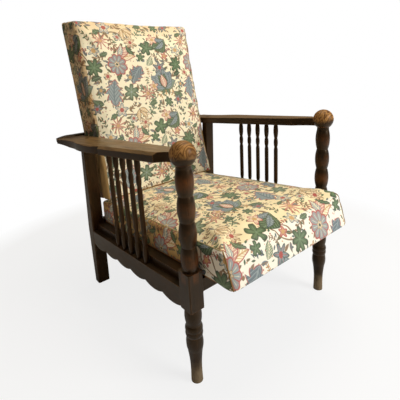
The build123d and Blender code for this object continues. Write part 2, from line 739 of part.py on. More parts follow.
def make_seat():
    """The seat frame, its webbing and its stuffed pad."""
    outer = SEAT_HALF_WIDTH - SEAT_COVER
    inner = outer - SEAT_RAIL_THICKNESS
    nose_lean = SEAT_FRONT_LEAN / SEAT_EDGE_HEIGHT
    front_low = SEAT_COVER - SEAT_NOSE
    front_high = front_low + nose_lean * SEAT_RAIL_HEIGHT
    rear = seat_rear - SEAT_COVER
    well = (front_high + SEAT_RAIL_THICKNESS, rear - SEAT_RAIL_THICKNESS)
    for name, side in SIDES.items():
        make_seat_side(f"seat_side_rail_{name}", side, inner, outer, front_low, front_high, rear)
    with BuildPart() as front_rail:
        with BuildSketch(Plane(origin=(-inner, 0, bed_height), x_dir=(0, *seat_along), z_dir=(1, 0, 0))):
            with BuildLine():
                Polyline(
                    (front_low, 0),
                    (front_high, SEAT_RAIL_HEIGHT),
                    (well[0], SEAT_RAIL_HEIGHT),
                    (well[0], 0),
                    close=True,
                )
            make_face()
        extrude(amount=2 * inner)
    keep("seat_front_rail", front_rail)
    make_slab("seat_rear_rail", seat_bed, (-inner, inner), (well[1], rear), 0, SEAT_RAIL_HEIGHT)
    with BuildPart() as blocks:
        with BuildSketch(seat_bed.offset(WEB_THICKNESS)):
            for sx in (LEFT, RIGHT):
                for sy, y in ((1, well[0]), (-1, well[1])):
                    with BuildLine():
                        Polyline(
                            (sx * inner, y),
                            (sx * (inner - SEAT_BLOCK_LEG), y),
                            (sx * inner, y + sy * SEAT_BLOCK_LEG),
                            close=True,
                        )
                    make_face()
        extrude(amount=SEAT_RAIL_HEIGHT - 2 * WEB_THICKNESS)
    keep("seat_corner_blocks", blocks)
    lap = (-inner - WEB_LAP, inner + WEB_LAP)
    make_webbing(
        "seat_webbing",
        seat_bed,
        lap,
        (well[0] - WEB_LAP, well[1] + WEB_LAP),
        SEAT_CROSS_WEB_COUNT,
        SEAT_LONG_WEB_COUNT,
        SEAT_RAIL_HEIGHT,
    )
    pad_low = SEAT_RAIL_HEIGHT + WEB_THICKNESS
    side_view = Plane(
        origin=(-SEAT_HALF_WIDTH - OVERRUN, 0, bed_height),
        x_dir=(0, *seat_along),
        z_dir=(1, 0, 0),
    )
    front_view = Plane(
        origin=(0, (seat_rear + OVERRUN) * seat_along[0], bed_height + (seat_rear + OVERRUN) * seat_along[1]),
        x_dir=(1, 0, 0),
        z_dir=(0, -seat_along[0], -seat_along[1]),
    )
    crown_low = SEAT_EDGE_HEIGHT - SEAT_REAR_DROP
    crown_top = SEAT_EDGE_HEIGHT + SEAT_CROWN
    with BuildPart() as pad:
        with BuildSketch(seat_bed):
            with BuildLine():
                for side in (LEFT, RIGHT):
                    Line((side * SEAT_HALF_WIDTH, -SEAT_NOSE - OVERRUN), (side * SEAT_HALF_WIDTH, -SEAT_NOSE))
                    ThreePointArc(
                        (side * SEAT_HALF_WIDTH, -SEAT_NOSE),
                        (side * (SEAT_HALF_WIDTH - SEAT_PULL_IN), (seat_rear - SEAT_NOSE) / 2),
                        (side * SEAT_HALF_WIDTH, seat_rear),
                    )
                    Line((side * SEAT_HALF_WIDTH, seat_rear), (side * SEAT_HALF_WIDTH, seat_rear + OVERRUN))
                for y in (-SEAT_NOSE - OVERRUN, seat_rear + OVERRUN):
                    Line((-SEAT_HALF_WIDTH, y), (SEAT_HALF_WIDTH, y))
            make_face()
        extrude(amount=crown_top + OVERRUN)
        with BuildSketch(side_view):
            with BuildLine():
                Polyline(
                    (nose_lean * SEAT_EDGE_HEIGHT - SEAT_NOSE, SEAT_EDGE_HEIGHT),
                    (nose_lean * pad_low - SEAT_NOSE, pad_low),
                    (seat_rear, pad_low),
                    (seat_rear, crown_low),
                )
                ThreePointArc(
                    (seat_rear, crown_low),
                    ((seat_rear - SEAT_NOSE) / 2, (SEAT_EDGE_HEIGHT + crown_low) / 2 + SEAT_CROWN),
                    (nose_lean * SEAT_EDGE_HEIGHT - SEAT_NOSE, SEAT_EDGE_HEIGHT),
                )
            make_face()
        extrude(amount=2 * (SEAT_HALF_WIDTH + OVERRUN), mode=Mode.INTERSECT)
        nose = pad.faces().sort_by(Axis.Y)[0]
        fillet(nose.edges().sort_by(lambda e: abs(e.center().X))[-2:], SEAT_RAIL_THICKNESS)
        with BuildSketch(front_view):
            with BuildLine():
                Polyline(
                    (SEAT_HALF_WIDTH, crown_low),
                    (SEAT_HALF_WIDTH + OVERRUN, crown_low),
                    (SEAT_HALF_WIDTH + OVERRUN, 0),
                    (-SEAT_HALF_WIDTH - OVERRUN, 0),
                    (-SEAT_HALF_WIDTH - OVERRUN, crown_low),
                    (-SEAT_HALF_WIDTH, crown_low),
                )
                ThreePointArc(
                    (-SEAT_HALF_WIDTH, crown_low),
                    (0, crown_top),
                    (SEAT_HALF_WIDTH, crown_low),
                )
            make_face()
        extrude(amount=SEAT_LENGTH + 2 * OVERRUN, mode=Mode.INTERSECT)
    keep("seat_cushion", pad)


def make_back():
    """The back's frame, its webbing, its lining and its stuffed pad."""
    rear = -BACK_THICKNESS
    frame_low = rear + BACK_COVER
    frame_high = frame_low + BACK_RAIL_THICKNESS
    outer = back_half - BACK_CORNER_INSET
    inner = outer - BACK_STILE_WIDTH
    board_top = BACK_BOARD_THICKNESS
    top = BACK_HEIGHT - BACK_CORNER_INSET
    make_slab(
        "back_bottom_board",
        back_face,
        (-back_half, back_half),
        (0, board_top),
        rear,
        rear + BACK_BOARD_DEPTH,
    )
    for name, side in SIDES.items():
        across = sorted((side * inner, side * outer))
        make_slab(f"back_stile_{name}", back_face, across, (board_top, top), frame_low, frame_high)
    cross = (-inner, inner)
    make_slab("back_top_rail", back_face, cross, (top - BACK_TOP_RAIL_WIDTH, top), frame_low, frame_high)
    space = top - BACK_TOP_RAIL_WIDTH - board_top
    for i in range(BACK_SLAT_COUNT):
        middle = board_top + space * (i + 1) / (BACK_SLAT_COUNT + 1)
        along = (middle - BACK_SLAT_WIDTH / 2, middle + BACK_SLAT_WIDTH / 2)
        make_slab(f"back_slat_{i + 1}", back_face, cross, along, frame_low, frame_high)
    make_webbing(
        "back_webbing",
        back_face,
        (-inner - WEB_LAP, inner + WEB_LAP),
        (board_top + RUNNING_GAP, top - BACK_TOP_RAIL_WIDTH + WEB_LAP),
        BACK_CROSS_WEB_COUNT,
        BACK_UPRIGHT_WEB_COUNT,
        frame_high,
    )
    make_slab("back_lining", back_face, (-outer, outer), (board_top, top), rear, frame_low)
    pad_low = frame_high + WEB_THICKNESS
    board_front = rear + BACK_BOARD_DEPTH
    high = BACK_HEIGHT + BACK_TOP_RISE
    side_view = Plane(
        origin=(-back_half - OVERRUN, back_foot_y, back_foot_z),
        x_dir=(0, *back_up),
        z_dir=(1, 0, 0),
    )
    plan_view = Plane(
        origin=(0, back_foot_y - OVERRUN * back_up[0], back_foot_z - OVERRUN * back_up[1]),
        x_dir=(1, 0, 0),
        z_dir=(0, *back_up),
    )
    with BuildPart() as pad:
        with BuildSketch(back_face.offset(rear)):
            with BuildLine():
                for side in (LEFT, RIGHT):
                    Line((side * back_half, -OVERRUN), (side * back_half, 0))
                    ThreePointArc(
                        (side * back_half, 0),
                        (side * (back_half - BACK_PULL_IN), high / 2),
                        (side * back_half, high),
                    )
                    Line((side * back_half, high), (side * back_half, high + OVERRUN))
                for y in (-OVERRUN, high + OVERRUN):
                    Line((-back_half, y), (back_half, y))
            make_face()
        extrude(amount=BACK_THICKNESS + BACK_CROWN + OVERRUN)
        with BuildSketch(side_view):
            with BuildLine():
                Polyline((0, 0), (0, rear), (high, rear), (BACK_HEIGHT, 0))
                ThreePointArc((BACK_HEIGHT, 0), (BACK_HEIGHT / 2, BACK_CROWN), (0, 0))
            make_face()
        extrude(amount=2 * (back_half + OVERRUN), mode=Mode.INTERSECT)
        with BuildSketch(plan_view):
            with BuildLine():
                Polyline(
                    (-back_half, 0),
                    (-back_half - OVERRUN, 0),
                    (-back_half - OVERRUN, BACK_THICKNESS + OVERRUN),
                    (back_half + OVERRUN, BACK_THICKNESS + OVERRUN),
                    (back_half + OVERRUN, 0),
                    (back_half, 0),
                )
                ThreePointArc((back_half, 0), (0, -BACK_CROWN), (-back_half, 0))
            make_face()
        extrude(amount=high + 2 * OVERRUN, mode=Mode.INTERSECT)
        with BuildSketch(back_face.offset(rear - OVERRUN)):
            with Locations((0, (board_top + top) / 2)):
                Rectangle(2 * outer, top - board_top)
        extrude(amount=OVERRUN + pad_low - rear, mode=Mode.SUBTRACT)
        with BuildSketch(back_face.offset(rear - OVERRUN)):
            with Locations((0, (board_top - OVERRUN) / 2)):
                Rectangle(2 * (back_half + OVERRUN), board_top + OVERRUN)
        extrude(amount=OVERRUN + BACK_BOARD_DEPTH, mode=Mode.SUBTRACT)
    keep("back_cushion", pad)


def hinge_line_at(x):
    """A plane across the hinge line, for round parts along it."""
    return Plane(origin=(x, hinge_y, hinge_z), x_dir=(0, 1, 0), z_dir=(1, 0, 0))


def make_hinge(name, side):
    """One butt hinge: a leaf on the seat, a leaf on the back and the pin between them."""
    x = side * (SEAT_HALF_WIDTH - HINGE_INSET)
    start = x - HINGE_WIDTH / 2
    third = HINGE_WIDTH / 3
    notch = HINGE_KNUCKLE_RADIUS + HINGE_KNUCKLE_GAP
    bore = HINGE_PIN_RADIUS + HINGE_PIN_GAP
    with BuildPart() as seat_leaf:
        with BuildSketch(seat_bed.offset(hinge_above - HINGE_LEAF)):
            with Locations((x, seat_rear + HINGE_LEAF_THICKNESS / 2)):
                Rectangle(HINGE_WIDTH, HINGE_LEAF_THICKNESS)
        extrude(amount=HINGE_LEAF)
        with BuildSketch(seat_bed.offset(hinge_above - 2 * notch)):
            with Locations((x, seat_rear + HINGE_LEAF_THICKNESS / 2)):
                Rectangle(third + 2 * HINGE_KNUCKLE_GAP, HINGE_LEAF_THICKNESS)
        extrude(amount=2 * notch, mode=Mode.SUBTRACT)
        for place in (start, start + 2 * third + HINGE_KNUCKLE_GAP):
            with BuildSketch(hinge_line_at(place)):
                Circle(HINGE_KNUCKLE_RADIUS)
            extrude(amount=third - HINGE_KNUCKLE_GAP)
        with BuildSketch(hinge_line_at(start)):
            Circle(bore)
        extrude(amount=HINGE_WIDTH, mode=Mode.SUBTRACT)
    keep(f"hinge_seat_leaf_{name}", seat_leaf)
    with BuildPart() as back_leaf:
        with BuildSketch(back_face.offset(-HINGE_SETBACK - HINGE_LEAF)):
            with Locations((x, -HINGE_LEAF_THICKNESS / 2)):
                Rectangle(HINGE_WIDTH, HINGE_LEAF_THICKNESS)
        extrude(amount=HINGE_LEAF)
        with BuildSketch(back_face.offset(-HINGE_SETBACK - 2 * notch)):
            for way in (LEFT, RIGHT):
                with Locations((x + way * third, -HINGE_LEAF_THICKNESS / 2)):
                    Rectangle(third, HINGE_LEAF_THICKNESS)
        extrude(amount=2 * notch, mode=Mode.SUBTRACT)
        with BuildSketch(hinge_line_at(start + third)):
            Circle(HINGE_KNUCKLE_RADIUS)
            Circle(bore, mode=Mode.SUBTRACT)
        extrude(amount=third)
    keep(f"hinge_back_leaf_{name}", back_leaf)
    with BuildPart() as pin:
        with BuildSketch(hinge_line_at(start)):
            Circle(HINGE_PIN_RADIUS)
        extrude(amount=HINGE_WIDTH)
    keep(f"hinge_pin_{name}", pin)


for side_name, side_sign in SIDES.items():
    make_front_post(f"front_post_{side_name}", side_sign)
    make_rear_post(f"rear_post_{side_name}", side_sign)
    make_side_rail(f"side_rail_{side_name}", side_sign)
    make_runner(f"runner_{side_name}", side_sign)
    make_arm(f"arm_{side_name}", side_sign)
    for number, place in enumerate(spindle_places(), start=1):
        make_spindle(f"spindle_{side_name}_{number}", side_sign, place)

make_box_rail(
    "front_rail",
    2 * post_x - BLOCK_SIDE,
    -CROSS_RAIL_THICKNESS / 2,
    CROSS_RAIL_THICKNESS,
    front_rail_bottom,
    front_rail_top,
)
make_box_rail(
    "rear_rail",
    2 * (rail_outer - REAR_POST_WIDTH),
    rear_post_front(rear_rail_bottom),
    CROSS_RAIL_THICKNESS,
    rear_rail_bottom,
    rear_rail_top,
)
make_rest_rail()
make_seat()
make_back()
for side_name, side_sign in SIDES.items():
    make_hinge(side_name, side_sign)

boxes = [solid.bounding_box() for solid in pieces.values()]
middle_y = (min(box.min.Y for box in boxes) + max(box.max.Y for box in boxes)) / 2
placing = Location((0, -middle_y, 0))
for piece_name, solid in pieces.items():
    placed = solid.moved(placing)
    placed.label = piece_name
    export_step(placed, f"parts/{piece_name}.step")
print("middle", middle_y, "hinge", hinge_y - middle_y, hinge_z, "rest edge", rest_y - middle_y, rest_z)
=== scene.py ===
import math

import bmesh
import bpy
import numpy as np
from mathutils import Matrix, Vector, noise
from mathutils.bvhtree import BVHTree


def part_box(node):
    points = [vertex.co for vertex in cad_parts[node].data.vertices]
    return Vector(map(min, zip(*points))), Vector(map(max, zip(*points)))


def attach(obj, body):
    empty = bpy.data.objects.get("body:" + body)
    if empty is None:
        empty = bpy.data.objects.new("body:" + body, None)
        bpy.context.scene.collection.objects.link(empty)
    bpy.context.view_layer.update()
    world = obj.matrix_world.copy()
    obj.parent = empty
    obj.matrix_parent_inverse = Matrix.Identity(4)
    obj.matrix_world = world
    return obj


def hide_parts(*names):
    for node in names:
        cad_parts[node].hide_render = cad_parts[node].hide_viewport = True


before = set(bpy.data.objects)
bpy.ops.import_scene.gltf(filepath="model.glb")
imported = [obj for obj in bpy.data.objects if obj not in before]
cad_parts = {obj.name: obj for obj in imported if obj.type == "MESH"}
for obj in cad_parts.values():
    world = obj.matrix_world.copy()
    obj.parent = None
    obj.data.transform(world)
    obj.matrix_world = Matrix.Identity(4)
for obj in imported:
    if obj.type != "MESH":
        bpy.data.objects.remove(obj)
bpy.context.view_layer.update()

# The camera's place in metres: across, back from the line between the front posts, and up.
# Its turn in degrees: yaw, pitch and roll
CAMERA_PLACE = (-0.7224, -0.6189, 0.8165)
CAMERA_TURN = (-38.44, -13.86, -3.06)
SENSOR_WIDE = 36
LENS = 31.5
SHIFT = (0.0006, -0.1282)

# The seat lies on a slope and the back leans; both are measured from the line between the front posts
SEAT_SLOPE = math.atan(0.0885)
SEAT_BED = 0.2995
BACK_LEAN = math.radians(11.6)
BACK_FOOT = (0.5201, 0.35382)
POST_REACH = 0.281
ARM_SLOPE = 0.079

# The plugs' places: out from the middle and behind the post line, and the arm's height at that line
PLUG_REACH = 0.279
PLUG_BACK = 0.575
ARM_HIGH = 0.6236

# One repeat of the printed cloth in metres, and the motifs' size against their tables
PRINT_WIDE = 0.36
PRINT_HIGH = 0.31
MOTIF_SCALE = 1.14

post_low, post_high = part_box("front_post_left")
POST_LINE = (post_low[1] + post_high[1]) / 2
SEAT_PLACE = Matrix.Translation((0, POST_LINE, SEAT_BED)) @ Matrix.Rotation(-SEAT_SLOPE, 4, "X")
BACK_PLACE = Matrix.Translation((0, POST_LINE + BACK_FOOT[0], BACK_FOOT[1])) @ Matrix.Rotation(
    math.pi / 2 - BACK_LEAN, 4, "X"
)


def show(name, data):
    """A new object in the scene."""
    made = bpy.data.objects.new(name, data)
    bpy.context.collection.objects.link(made)
    return made


def make_camera():
    data = bpy.data.cameras.new("camera")
    data.lens = LENS
    data.sensor_width = SENSOR_WIDE
    data.shift_x, data.shift_y = SHIFT
    across, back, high = CAMERA_PLACE
    yaw, pitch, roll = (math.radians(angle) for angle in CAMERA_TURN)
    aim = Matrix.Rotation(yaw, 4, "Z") @ Matrix.Rotation(math.pi / 2 + pitch, 4, "X")
    camera = show("camera", data)
    camera.matrix_world = (
        Matrix.Translation((across, POST_LINE + back, high)) @ aim @ Matrix.Rotation(roll, 4, "Z")
    )
    bpy.context.scene.camera = camera


# Colours and shader nodes


def tint(code):
    """A linear colour from its six-figure code."""
    parts = [int(code[i : i + 2], 16) / 255 for i in (0, 2, 4)]
    return tuple(c / 12.92 if c <= 0.04045 else ((c + 0.055) / 1.055) ** 2.4 for c in parts) + (1.0,)


class Nodes:
    """Adds nodes to one tree, joins them up and gives their results to the tree's end."""

    def __init__(self, tree, end=None):
        self.tree = tree
        self.end = end

    def fill(self, sockets, values):
        """Gives each socket its value or colour code, or joins another node's output to it."""
        for key, value in values.items():
            value = tint(value) if isinstance(value, str) else value
            if isinstance(value, bpy.types.NodeSocket):
                self.tree.links.new(value, sockets[key])
            else:
                sockets[key].default_value = value

    def add(self, kind, inputs=None, **settings):
        node = self.tree.nodes.new("ShaderNode" + kind)
        for name, value in settings.items():
            setattr(node, name, value)
        self.fill(node.inputs, inputs or {})
        return node

    def maths(self, operation, *values, clamp=False):
        return self.add("Math", dict(enumerate(values)), operation=operation, use_clamp=clamp).outputs[0]

    def times(self, product, *factors, clamp=False):
        for factor in factors:
            product = self.maths("MULTIPLY", product, factor, clamp=clamp)
        return product

    def times_plus(self, one, two, added, clamp=False):
        return self.maths("MULTIPLY_ADD", one, two, added, clamp=clamp)

    def less(self, one, two):
        return self.maths("SUBTRACT", one, two)

    def rest(self, share):
        """What is left of 1."""
        return self.less(1.0, share)

    def step(self, value, edge, sharp):
        """0 below the edge and 1 above it, with a soft change between."""
        return self.times_plus(self.less(value, edge), sharp, 0.5, clamp=True)

    def mix(self, share, under, over, how="MIX"):
        inputs = {0: share, 6: under, 7: over}
        return self.add("Mix", inputs, data_type="RGBA", blend_type=how).outputs[2]

    def noise(self, place, scale, detail=3.0, rough=0.5, warp=0.0):
        inputs = {"Vector": place, "Scale": scale, "Detail": detail, "Roughness": rough, "Distortion": warp}
        return self.add("TexNoise", inputs).outputs[0]

    def vector(self, operation, *values):
        return self.add("VectorMath", dict(enumerate(values)), operation=operation).outputs

    def stretch(self, place, scale):
        return self.vector("MULTIPLY", place, scale)[0]

    def turn(self, place, angle):
        return self.add("VectorRotate", {"Vector": place, "Angle": angle}, rotation_type="Z_AXIS").outputs[0]

    def split(self, place):
        return self.add("SeparateXYZ", {0: place}).outputs

    def own(self):
        """A point's place along the piece's own axes."""
        return self.add("TexCoord").outputs["Object"]

    def up(self):
        """How far a face looks up."""
        return self.split(self.add("NewGeometry").outputs["Normal"])["Z"]

    def group(self, tree, **inputs):
        return self.add("Group", inputs, node_tree=tree).outputs

    def give(self, **results):
        self.fill(self.end, results)
        return self.tree

    def bump(self, *layers):
        """Relief in layers, each with its strength, distance and height."""
        below = {}
        for strength, distance, height in layers:
            below.update({"Strength": strength, "Distance": distance, "Height": height})
            below = {"Normal": self.add("Bump", below).outputs[0]}
        self.fill(self.end, below)


SOCKETS = {"n": "NodeSocketFloat", "v": "NodeSocketVector", "c": "NodeSocketColor"}


def new_group(name, inputs, outputs):
    """An empty node group. Each socket is written as its kind (number, vector or colour) and its name."""
    tree = bpy.data.node_groups.new(name, "ShaderNodeTree")
    for way, sockets in (("INPUT", inputs), ("OUTPUT", outputs)):
        for socket in sockets.split():
            kind, label = socket.split(":")
            tree.interface.new_socket(name=label, in_out=way, socket_type=SOCKETS[kind])
    return Nodes(tree, tree.nodes.new("NodeGroupOutput").inputs), tree.nodes.new("NodeGroupInput").outputs


def blank_material(name):
    material = bpy.data.materials.new(name)
    material.use_nodes = True
    material.node_tree.nodes.clear()
    return material, Nodes(material.node_tree)


def new_material(name):
    material, n = blank_material(name)
    shader = n.add("BsdfPrincipled")
    n.add("OutputMaterial", {0: shader.outputs[0]})
    n.end = shader.inputs
    return material, n


# Groups that several finishes share


def grain_group():
    """Timber figure along one axis: fine pores and broad streaks."""
    n, given = new_group("timber_grain", "v:Place v:Along", "n:Streaks n:Pores n:Height")
    drawn = n.stretch(given["Place"], given["Along"])
    streaks = n.noise(drawn, 2.2, 4.0, 0.62, 0.7)
    pores = n.step(n.noise(drawn, 9.0, 3.0, 0.7), 0.6, 9.0)
    return n.give(Streaks=streaks, Pores=pores, Height=n.times_plus(pores, -0.6, streaks))


def wear_group():
    """Where hands and knocks have rubbed the stain thin: along edges, in patches."""
    n, given = new_group("edge_wear", "v:Place n:Width n:Patches", "n:Worn")
    round_edge = n.add("Bevel", {"Radius": given["Width"]}, samples=6).outputs[0]
    facing = n.vector("DOT_PRODUCT", round_edge, n.add("NewGeometry").outputs["Normal"])["Value"]
    edge = n.times(n.rest(facing), 9.0, clamp=True)
    patch = n.step(n.noise(given["Place"], given["Patches"], 4.0, 0.65), 0.48, 5.0)
    return n.give(Worn=n.times(edge, patch))


def dust_group():
    """Pale dust that settles in clouds on upward faces."""
    n, given = new_group("settled_dust", "v:Place n:Amount", "n:Dust")
    cloud = n.step(n.noise(given["Place"], 14.0, 5.0, 0.6), 0.52, 2.5)
    return n.give(Dust=n.times(n.times(n.up(), cloud, clamp=True), given["Amount"]))


def weave_group():
    """Plain woven cloth: threads both ways with uneven slubs."""
    n, given = new_group("plain_weave", "v:Place n:Threads", "n:Height n:Slub")
    at = n.split(given["Place"])
    turn = n.times(given["Threads"], math.tau)
    warp, weft = (n.maths("SINE", n.times(at[axis], turn)) for axis in "XY")
    slub = n.noise(n.stretch(given["Place"], (1.0, 6.0, 2.0)), 130.0, 3.0, 0.6)
    return n.give(Height=n.times_plus(n.times(warp, weft), 0.25, slub), Slub=slub)


GRAIN = grain_group()
WEAR = wear_group()
DUST = dust_group()
WEAVE = weave_group()


# The printed flowers


def place_group():
    """Where a point of the cloth lies in one motif's own frame, across the repeat."""
    n, given = new_group(
        "print_place", "v:Cloth v:Centre n:Turn n:Size", "n:X n:Y n:Radius n:Angle"
    )
    at = n.split(n.vector("SUBTRACT", given["Cloth"], given["Centre"])[0])
    x = n.maths("WRAP", at["X"], PRINT_WIDE / 2, -PRINT_WIDE / 2)
    y = n.maths("WRAP", at["Y"], PRINT_HIGH / 2, -PRINT_HIGH / 2)
    flat = n.add("CombineXYZ", {"X": x, "Y": y}).outputs[0]
    turned = n.turn(flat, n.times(given["Turn"], -1.0))
    each = n.maths("DIVIDE", 1.0, given["Size"])
    scaled = n.add("VectorMath", {0: turned, "Scale": each}, operation="SCALE").outputs[0]
    own = n.split(scaled)
    radius = n.vector("LENGTH", scaled)["Value"]
    angle = n.maths("ARCTAN2", own["Y"], own["X"])
    return n.give(X=own["X"], Y=own["Y"], Radius=radius, Angle=angle)


PLACE = place_group()


def motif_group(name, more):
    """The group of one kind of motif, and a point's place in that motif's own frame."""
    n, given = new_group(name, "c:Under v:Cloth v:Centre n:Turn n:Size " + more, "c:Print")
    at = n.group(PLACE, **{key: given[key] for key in ("Cloth", "Centre", "Turn", "Size")})
    return n, given, at


def bloom_group():
    """A flower or lobed leaf: petals round a heart, with an outline, petal lines and hatched tips."""
    n, given, at = motif_group(
        "printed_bloom", "n:Petals n:Depth n:Point c:Fill c:Shade c:Edge c:Heart n:Core"
    )
    swing = n.maths("COSINE", n.times(at["Angle"], given["Petals"]))
    valley = n.times_plus(swing, -0.5, 0.5)
    cut = n.times(n.maths("POWER", valley, given["Point"]), given["Depth"])
    reach = n.maths("DIVIDE", at["Radius"], n.rest(cut))
    inside = n.rest(n.step(reach, 1.0, 18.0))
    rim = n.step(reach, 0.88, 16.0)
    line = n.times(n.step(valley, 0.95, 14.0), n.step(reach, 0.35, 9.0))
    colour = n.mix(n.times(reach, reach, clamp=True), given["Shade"], given["Fill"])
    rays = n.step(n.maths("SINE", n.times(at["Angle"], n.times(given["Petals"], 4.0))), 0.5, 3.0)
    colour = n.mix(n.times(rays, n.step(reach, 0.62, 5.0), 0.4), colour, given["Edge"])
    rib = n.times(n.step(swing, 0.93, 22.0), n.rest(n.step(reach, 0.7, 12.0)))
    colour = n.mix(n.times(rib, 0.6), colour, given["Heart"])
    colour = n.mix(n.maths("MAXIMUM", rim, line), colour, given["Edge"])
    heart = n.step(n.less(given["Core"], at["Radius"]), 0.0, 18.0)
    colour = n.mix(heart, colour, given["Heart"])
    return n.give(Print=n.mix(inside, given["Under"], colour))


def leaf_group():
    """A curved leaf or petal with a midrib, side veins and a toothed edge."""
    n, given, at = motif_group(
        "printed_leaf", "n:Width n:Bend n:Teeth n:Tooth c:Fill c:Vein c:Edge"
    )
    along = n.maths("ADD", at["X"], 0.0, clamp=True)
    beyond = n.maths("ABSOLUTE", n.less(at["X"], along))
    bow = n.times(along, n.rest(along), given["Bend"])
    off = n.maths("ABSOLUTE", n.less(at["Y"], bow))
    swell = n.maths("SINE", n.times(n.maths("POWER", along, 0.78), math.pi))
    saw = n.maths("FRACT", n.times(along, given["Teeth"]))
    half = n.times(swell, given["Width"], n.rest(n.times(saw, given["Tooth"])))
    room = n.less(n.less(half, off), n.times_plus(beyond, 8.0, 0.012))
    inside = n.step(room, 0.008, 40.0)
    rim = n.rest(n.step(room, 0.045, 34.0))
    rib = n.rest(n.step(off, 0.022, 44.0))
    slant = n.maths("FRACT", n.times_plus(off, -9.0, n.times(along, 7.0)))
    veins = n.rest(n.step(slant, 0.26, 7.0))
    colour = n.mix(n.maths("MAXIMUM", rib, veins), given["Fill"], given["Vein"])
    colour = n.mix(rim, colour, given["Edge"])
    return n.give(Print=n.mix(inside, given["Under"], colour))


def frond_group():
    """A thin curved stem with small leaves on both sides, along part of a circle."""
    n, given, at = motif_group(
        "printed_frond", "n:Sweep n:Thick n:Leaves n:Long c:Fill c:Stem"
    )
    off = n.maths("ABSOLUTE", n.less(at["Radius"], 1.0))
    within = n.step(n.less(given["Sweep"], n.maths("ABSOLUTE", at["Angle"])), 0.0, 30.0)
    stem = n.times(within, n.step(n.less(given["Thick"], off), 0.0, 60.0))
    cell = n.times_plus(off, -1.6, n.times(at["Angle"], given["Leaves"]))
    beside = n.maths("ABSOLUTE", n.less(n.maths("FRACT", cell), 0.5))
    out = n.maths("DIVIDE", n.less(off, n.times(given["Long"], 0.5)), given["Long"])
    oval = n.times_plus(n.times(out, out), 4.4, n.times(beside, beside, 13.0))
    leaf = n.times(within, n.rest(n.step(oval, 0.8, 5.0)))
    colour = n.mix(leaf, given["Under"], given["Fill"])
    return n.give(Print=n.mix(stem, colour, given["Stem"]))


def sprinkle_group():
    """Small leaves, buds and berries strewn over the ground between the large flowers."""
    n, given = new_group(
        "printed_sprinkle",
        "c:Under v:Cloth n:Spacing n:Long n:Wide n:Share c:First c:Second c:Third",
        "c:Print",
    )
    each = n.maths("DIVIDE", 1.0, given["Spacing"])
    cells = n.add("TexVoronoi", {"Vector": given["Cloth"], "Scale": each, "Randomness": 0.8}).outputs
    off = n.vector("SUBTRACT", given["Cloth"], cells["Position"])[0]
    chance = n.add("SeparateColor", {0: cells["Color"]}).outputs
    at = n.split(n.turn(off, n.times(chance[0], math.tau)))
    x = n.maths("DIVIDE", at["X"], given["Long"])
    y = n.maths("DIVIDE", n.maths("ABSOLUTE", at["Y"]), given["Wide"])
    inside = n.rest(n.step(n.times_plus(x, x, y), 0.9, 3.0))
    shown = n.maths("LESS_THAN", chance[1], given["Share"])
    colour = n.mix(n.step(chance[2], 0.4, 60.0), given["First"], given["Second"])
    colour = n.mix(n.step(chance[2], 0.7, 60.0), colour, given["Third"])
    colour = n.mix(n.rest(n.step(y, 0.22, 4.0)), colour, given["First"])
    return n.give(Print=n.mix(n.times(inside, shown), given["Under"], colour))


BLOOM = bloom_group()
LEAF = leaf_group()
FROND = frond_group()
SPRINKLE = sprinkle_group()

SAGE = "75896A"
GREEN = "3B5635"
FERN = "5D7852"
PINE = "263A28"
MIST = "8E9A99"
SLATE = "5F6F78"
CORAL = "AE4A44"
ROSE = "CE9686"
OCHRE = "CBA066"
BARK = "86694A"
CREAM = "F1E5C4"

# Each motif: its centre across and up in millimetres, turn in degrees and size in millimetres,
# then its own numbers and colours
SPRINKLES = (
    (0.021, 0.0075, 0.0032, 0.46, GREEN, SLATE, BARK),
    (0.016, 0.0026, 0.0026, 0.34, ROSE, OCHRE, CORAL),
    (0.034, 0.0145, 0.0052, 0.42, BARK, GREEN, SLATE),
)
FRONDS = (
    (60, 150, 20, 66, 1.3, 0.03, 0, 0.01, BARK, BARK),
    (170, 70, 200, 54, 1.2, 0.035, 0, 0.01, GREEN, BARK),
    (255, 215, 95, 62, 1.4, 0.03, 0, 0.01, BARK, BARK),
    (330, 92, 310, 50, 1.3, 0.035, 0, 0.01, BARK, BARK),
    (130, 225, 250, 56, 1.2, 0.03, 0, 0.01, GREEN, BARK),
    (188, 140, 160, 44, 1.3, 0.035, 3.6, 0.26, BARK, BARK),
    (86, 300, 70, 46, 1.2, 0.03, 3.4, 0.26, OCHRE, BARK),
    (318, 12, 15, 48, 1.3, 0.03, 3.2, 0.28, SAGE, GREEN),
    (22, 96, 330, 42, 1.2, 0.035, 3.0, 0.3, BARK, BARK),
    (284, 262, 250, 40, 1.3, 0.035, 3.0, 0.28, BARK, BARK),
    # short sprigs in the bare places
    (120, 258, 30, 24, 0.85, 0.04, 2.2, 0.34, GREEN, BARK),
    (108, 11, 200, 24, 0.85, 0.04, 2.2, 0.34, SLATE, BARK),
    (170, 40, 120, 24, 0.8, 0.04, 2.0, 0.36, FERN, GREEN),
    (264, 24, 300, 24, 0.8, 0.04, 2.2, 0.34, BARK, BARK),
    (341, 150, 75, 24, 0.75, 0.04, 2.4, 0.3, SLATE, PINE),
    (58, 286, 150, 24, 0.8, 0.04, 2.2, 0.32, GREEN, BARK),
    (236, 269, 340, 24, 0.8, 0.04, 2.2, 0.32, FERN, GREEN),
    (125, 191, 100, 22, 0.7, 0.04, 2.6, 0.28, CORAL, BARK),
    (39, 169, 45, 22, 0.7, 0.04, 2.6, 0.28, BARK, BARK),
    (241, 241, 260, 22, 0.7, 0.04, 2.6, 0.28, CORAL, BARK),
    (345, 127, 10, 22, 0.6, 0.04, 2.6, 0.28, OCHRE, BARK),
    (25, 92, 180, 22, 0.6, 0.04, 2.4, 0.3, GREEN, BARK),
)
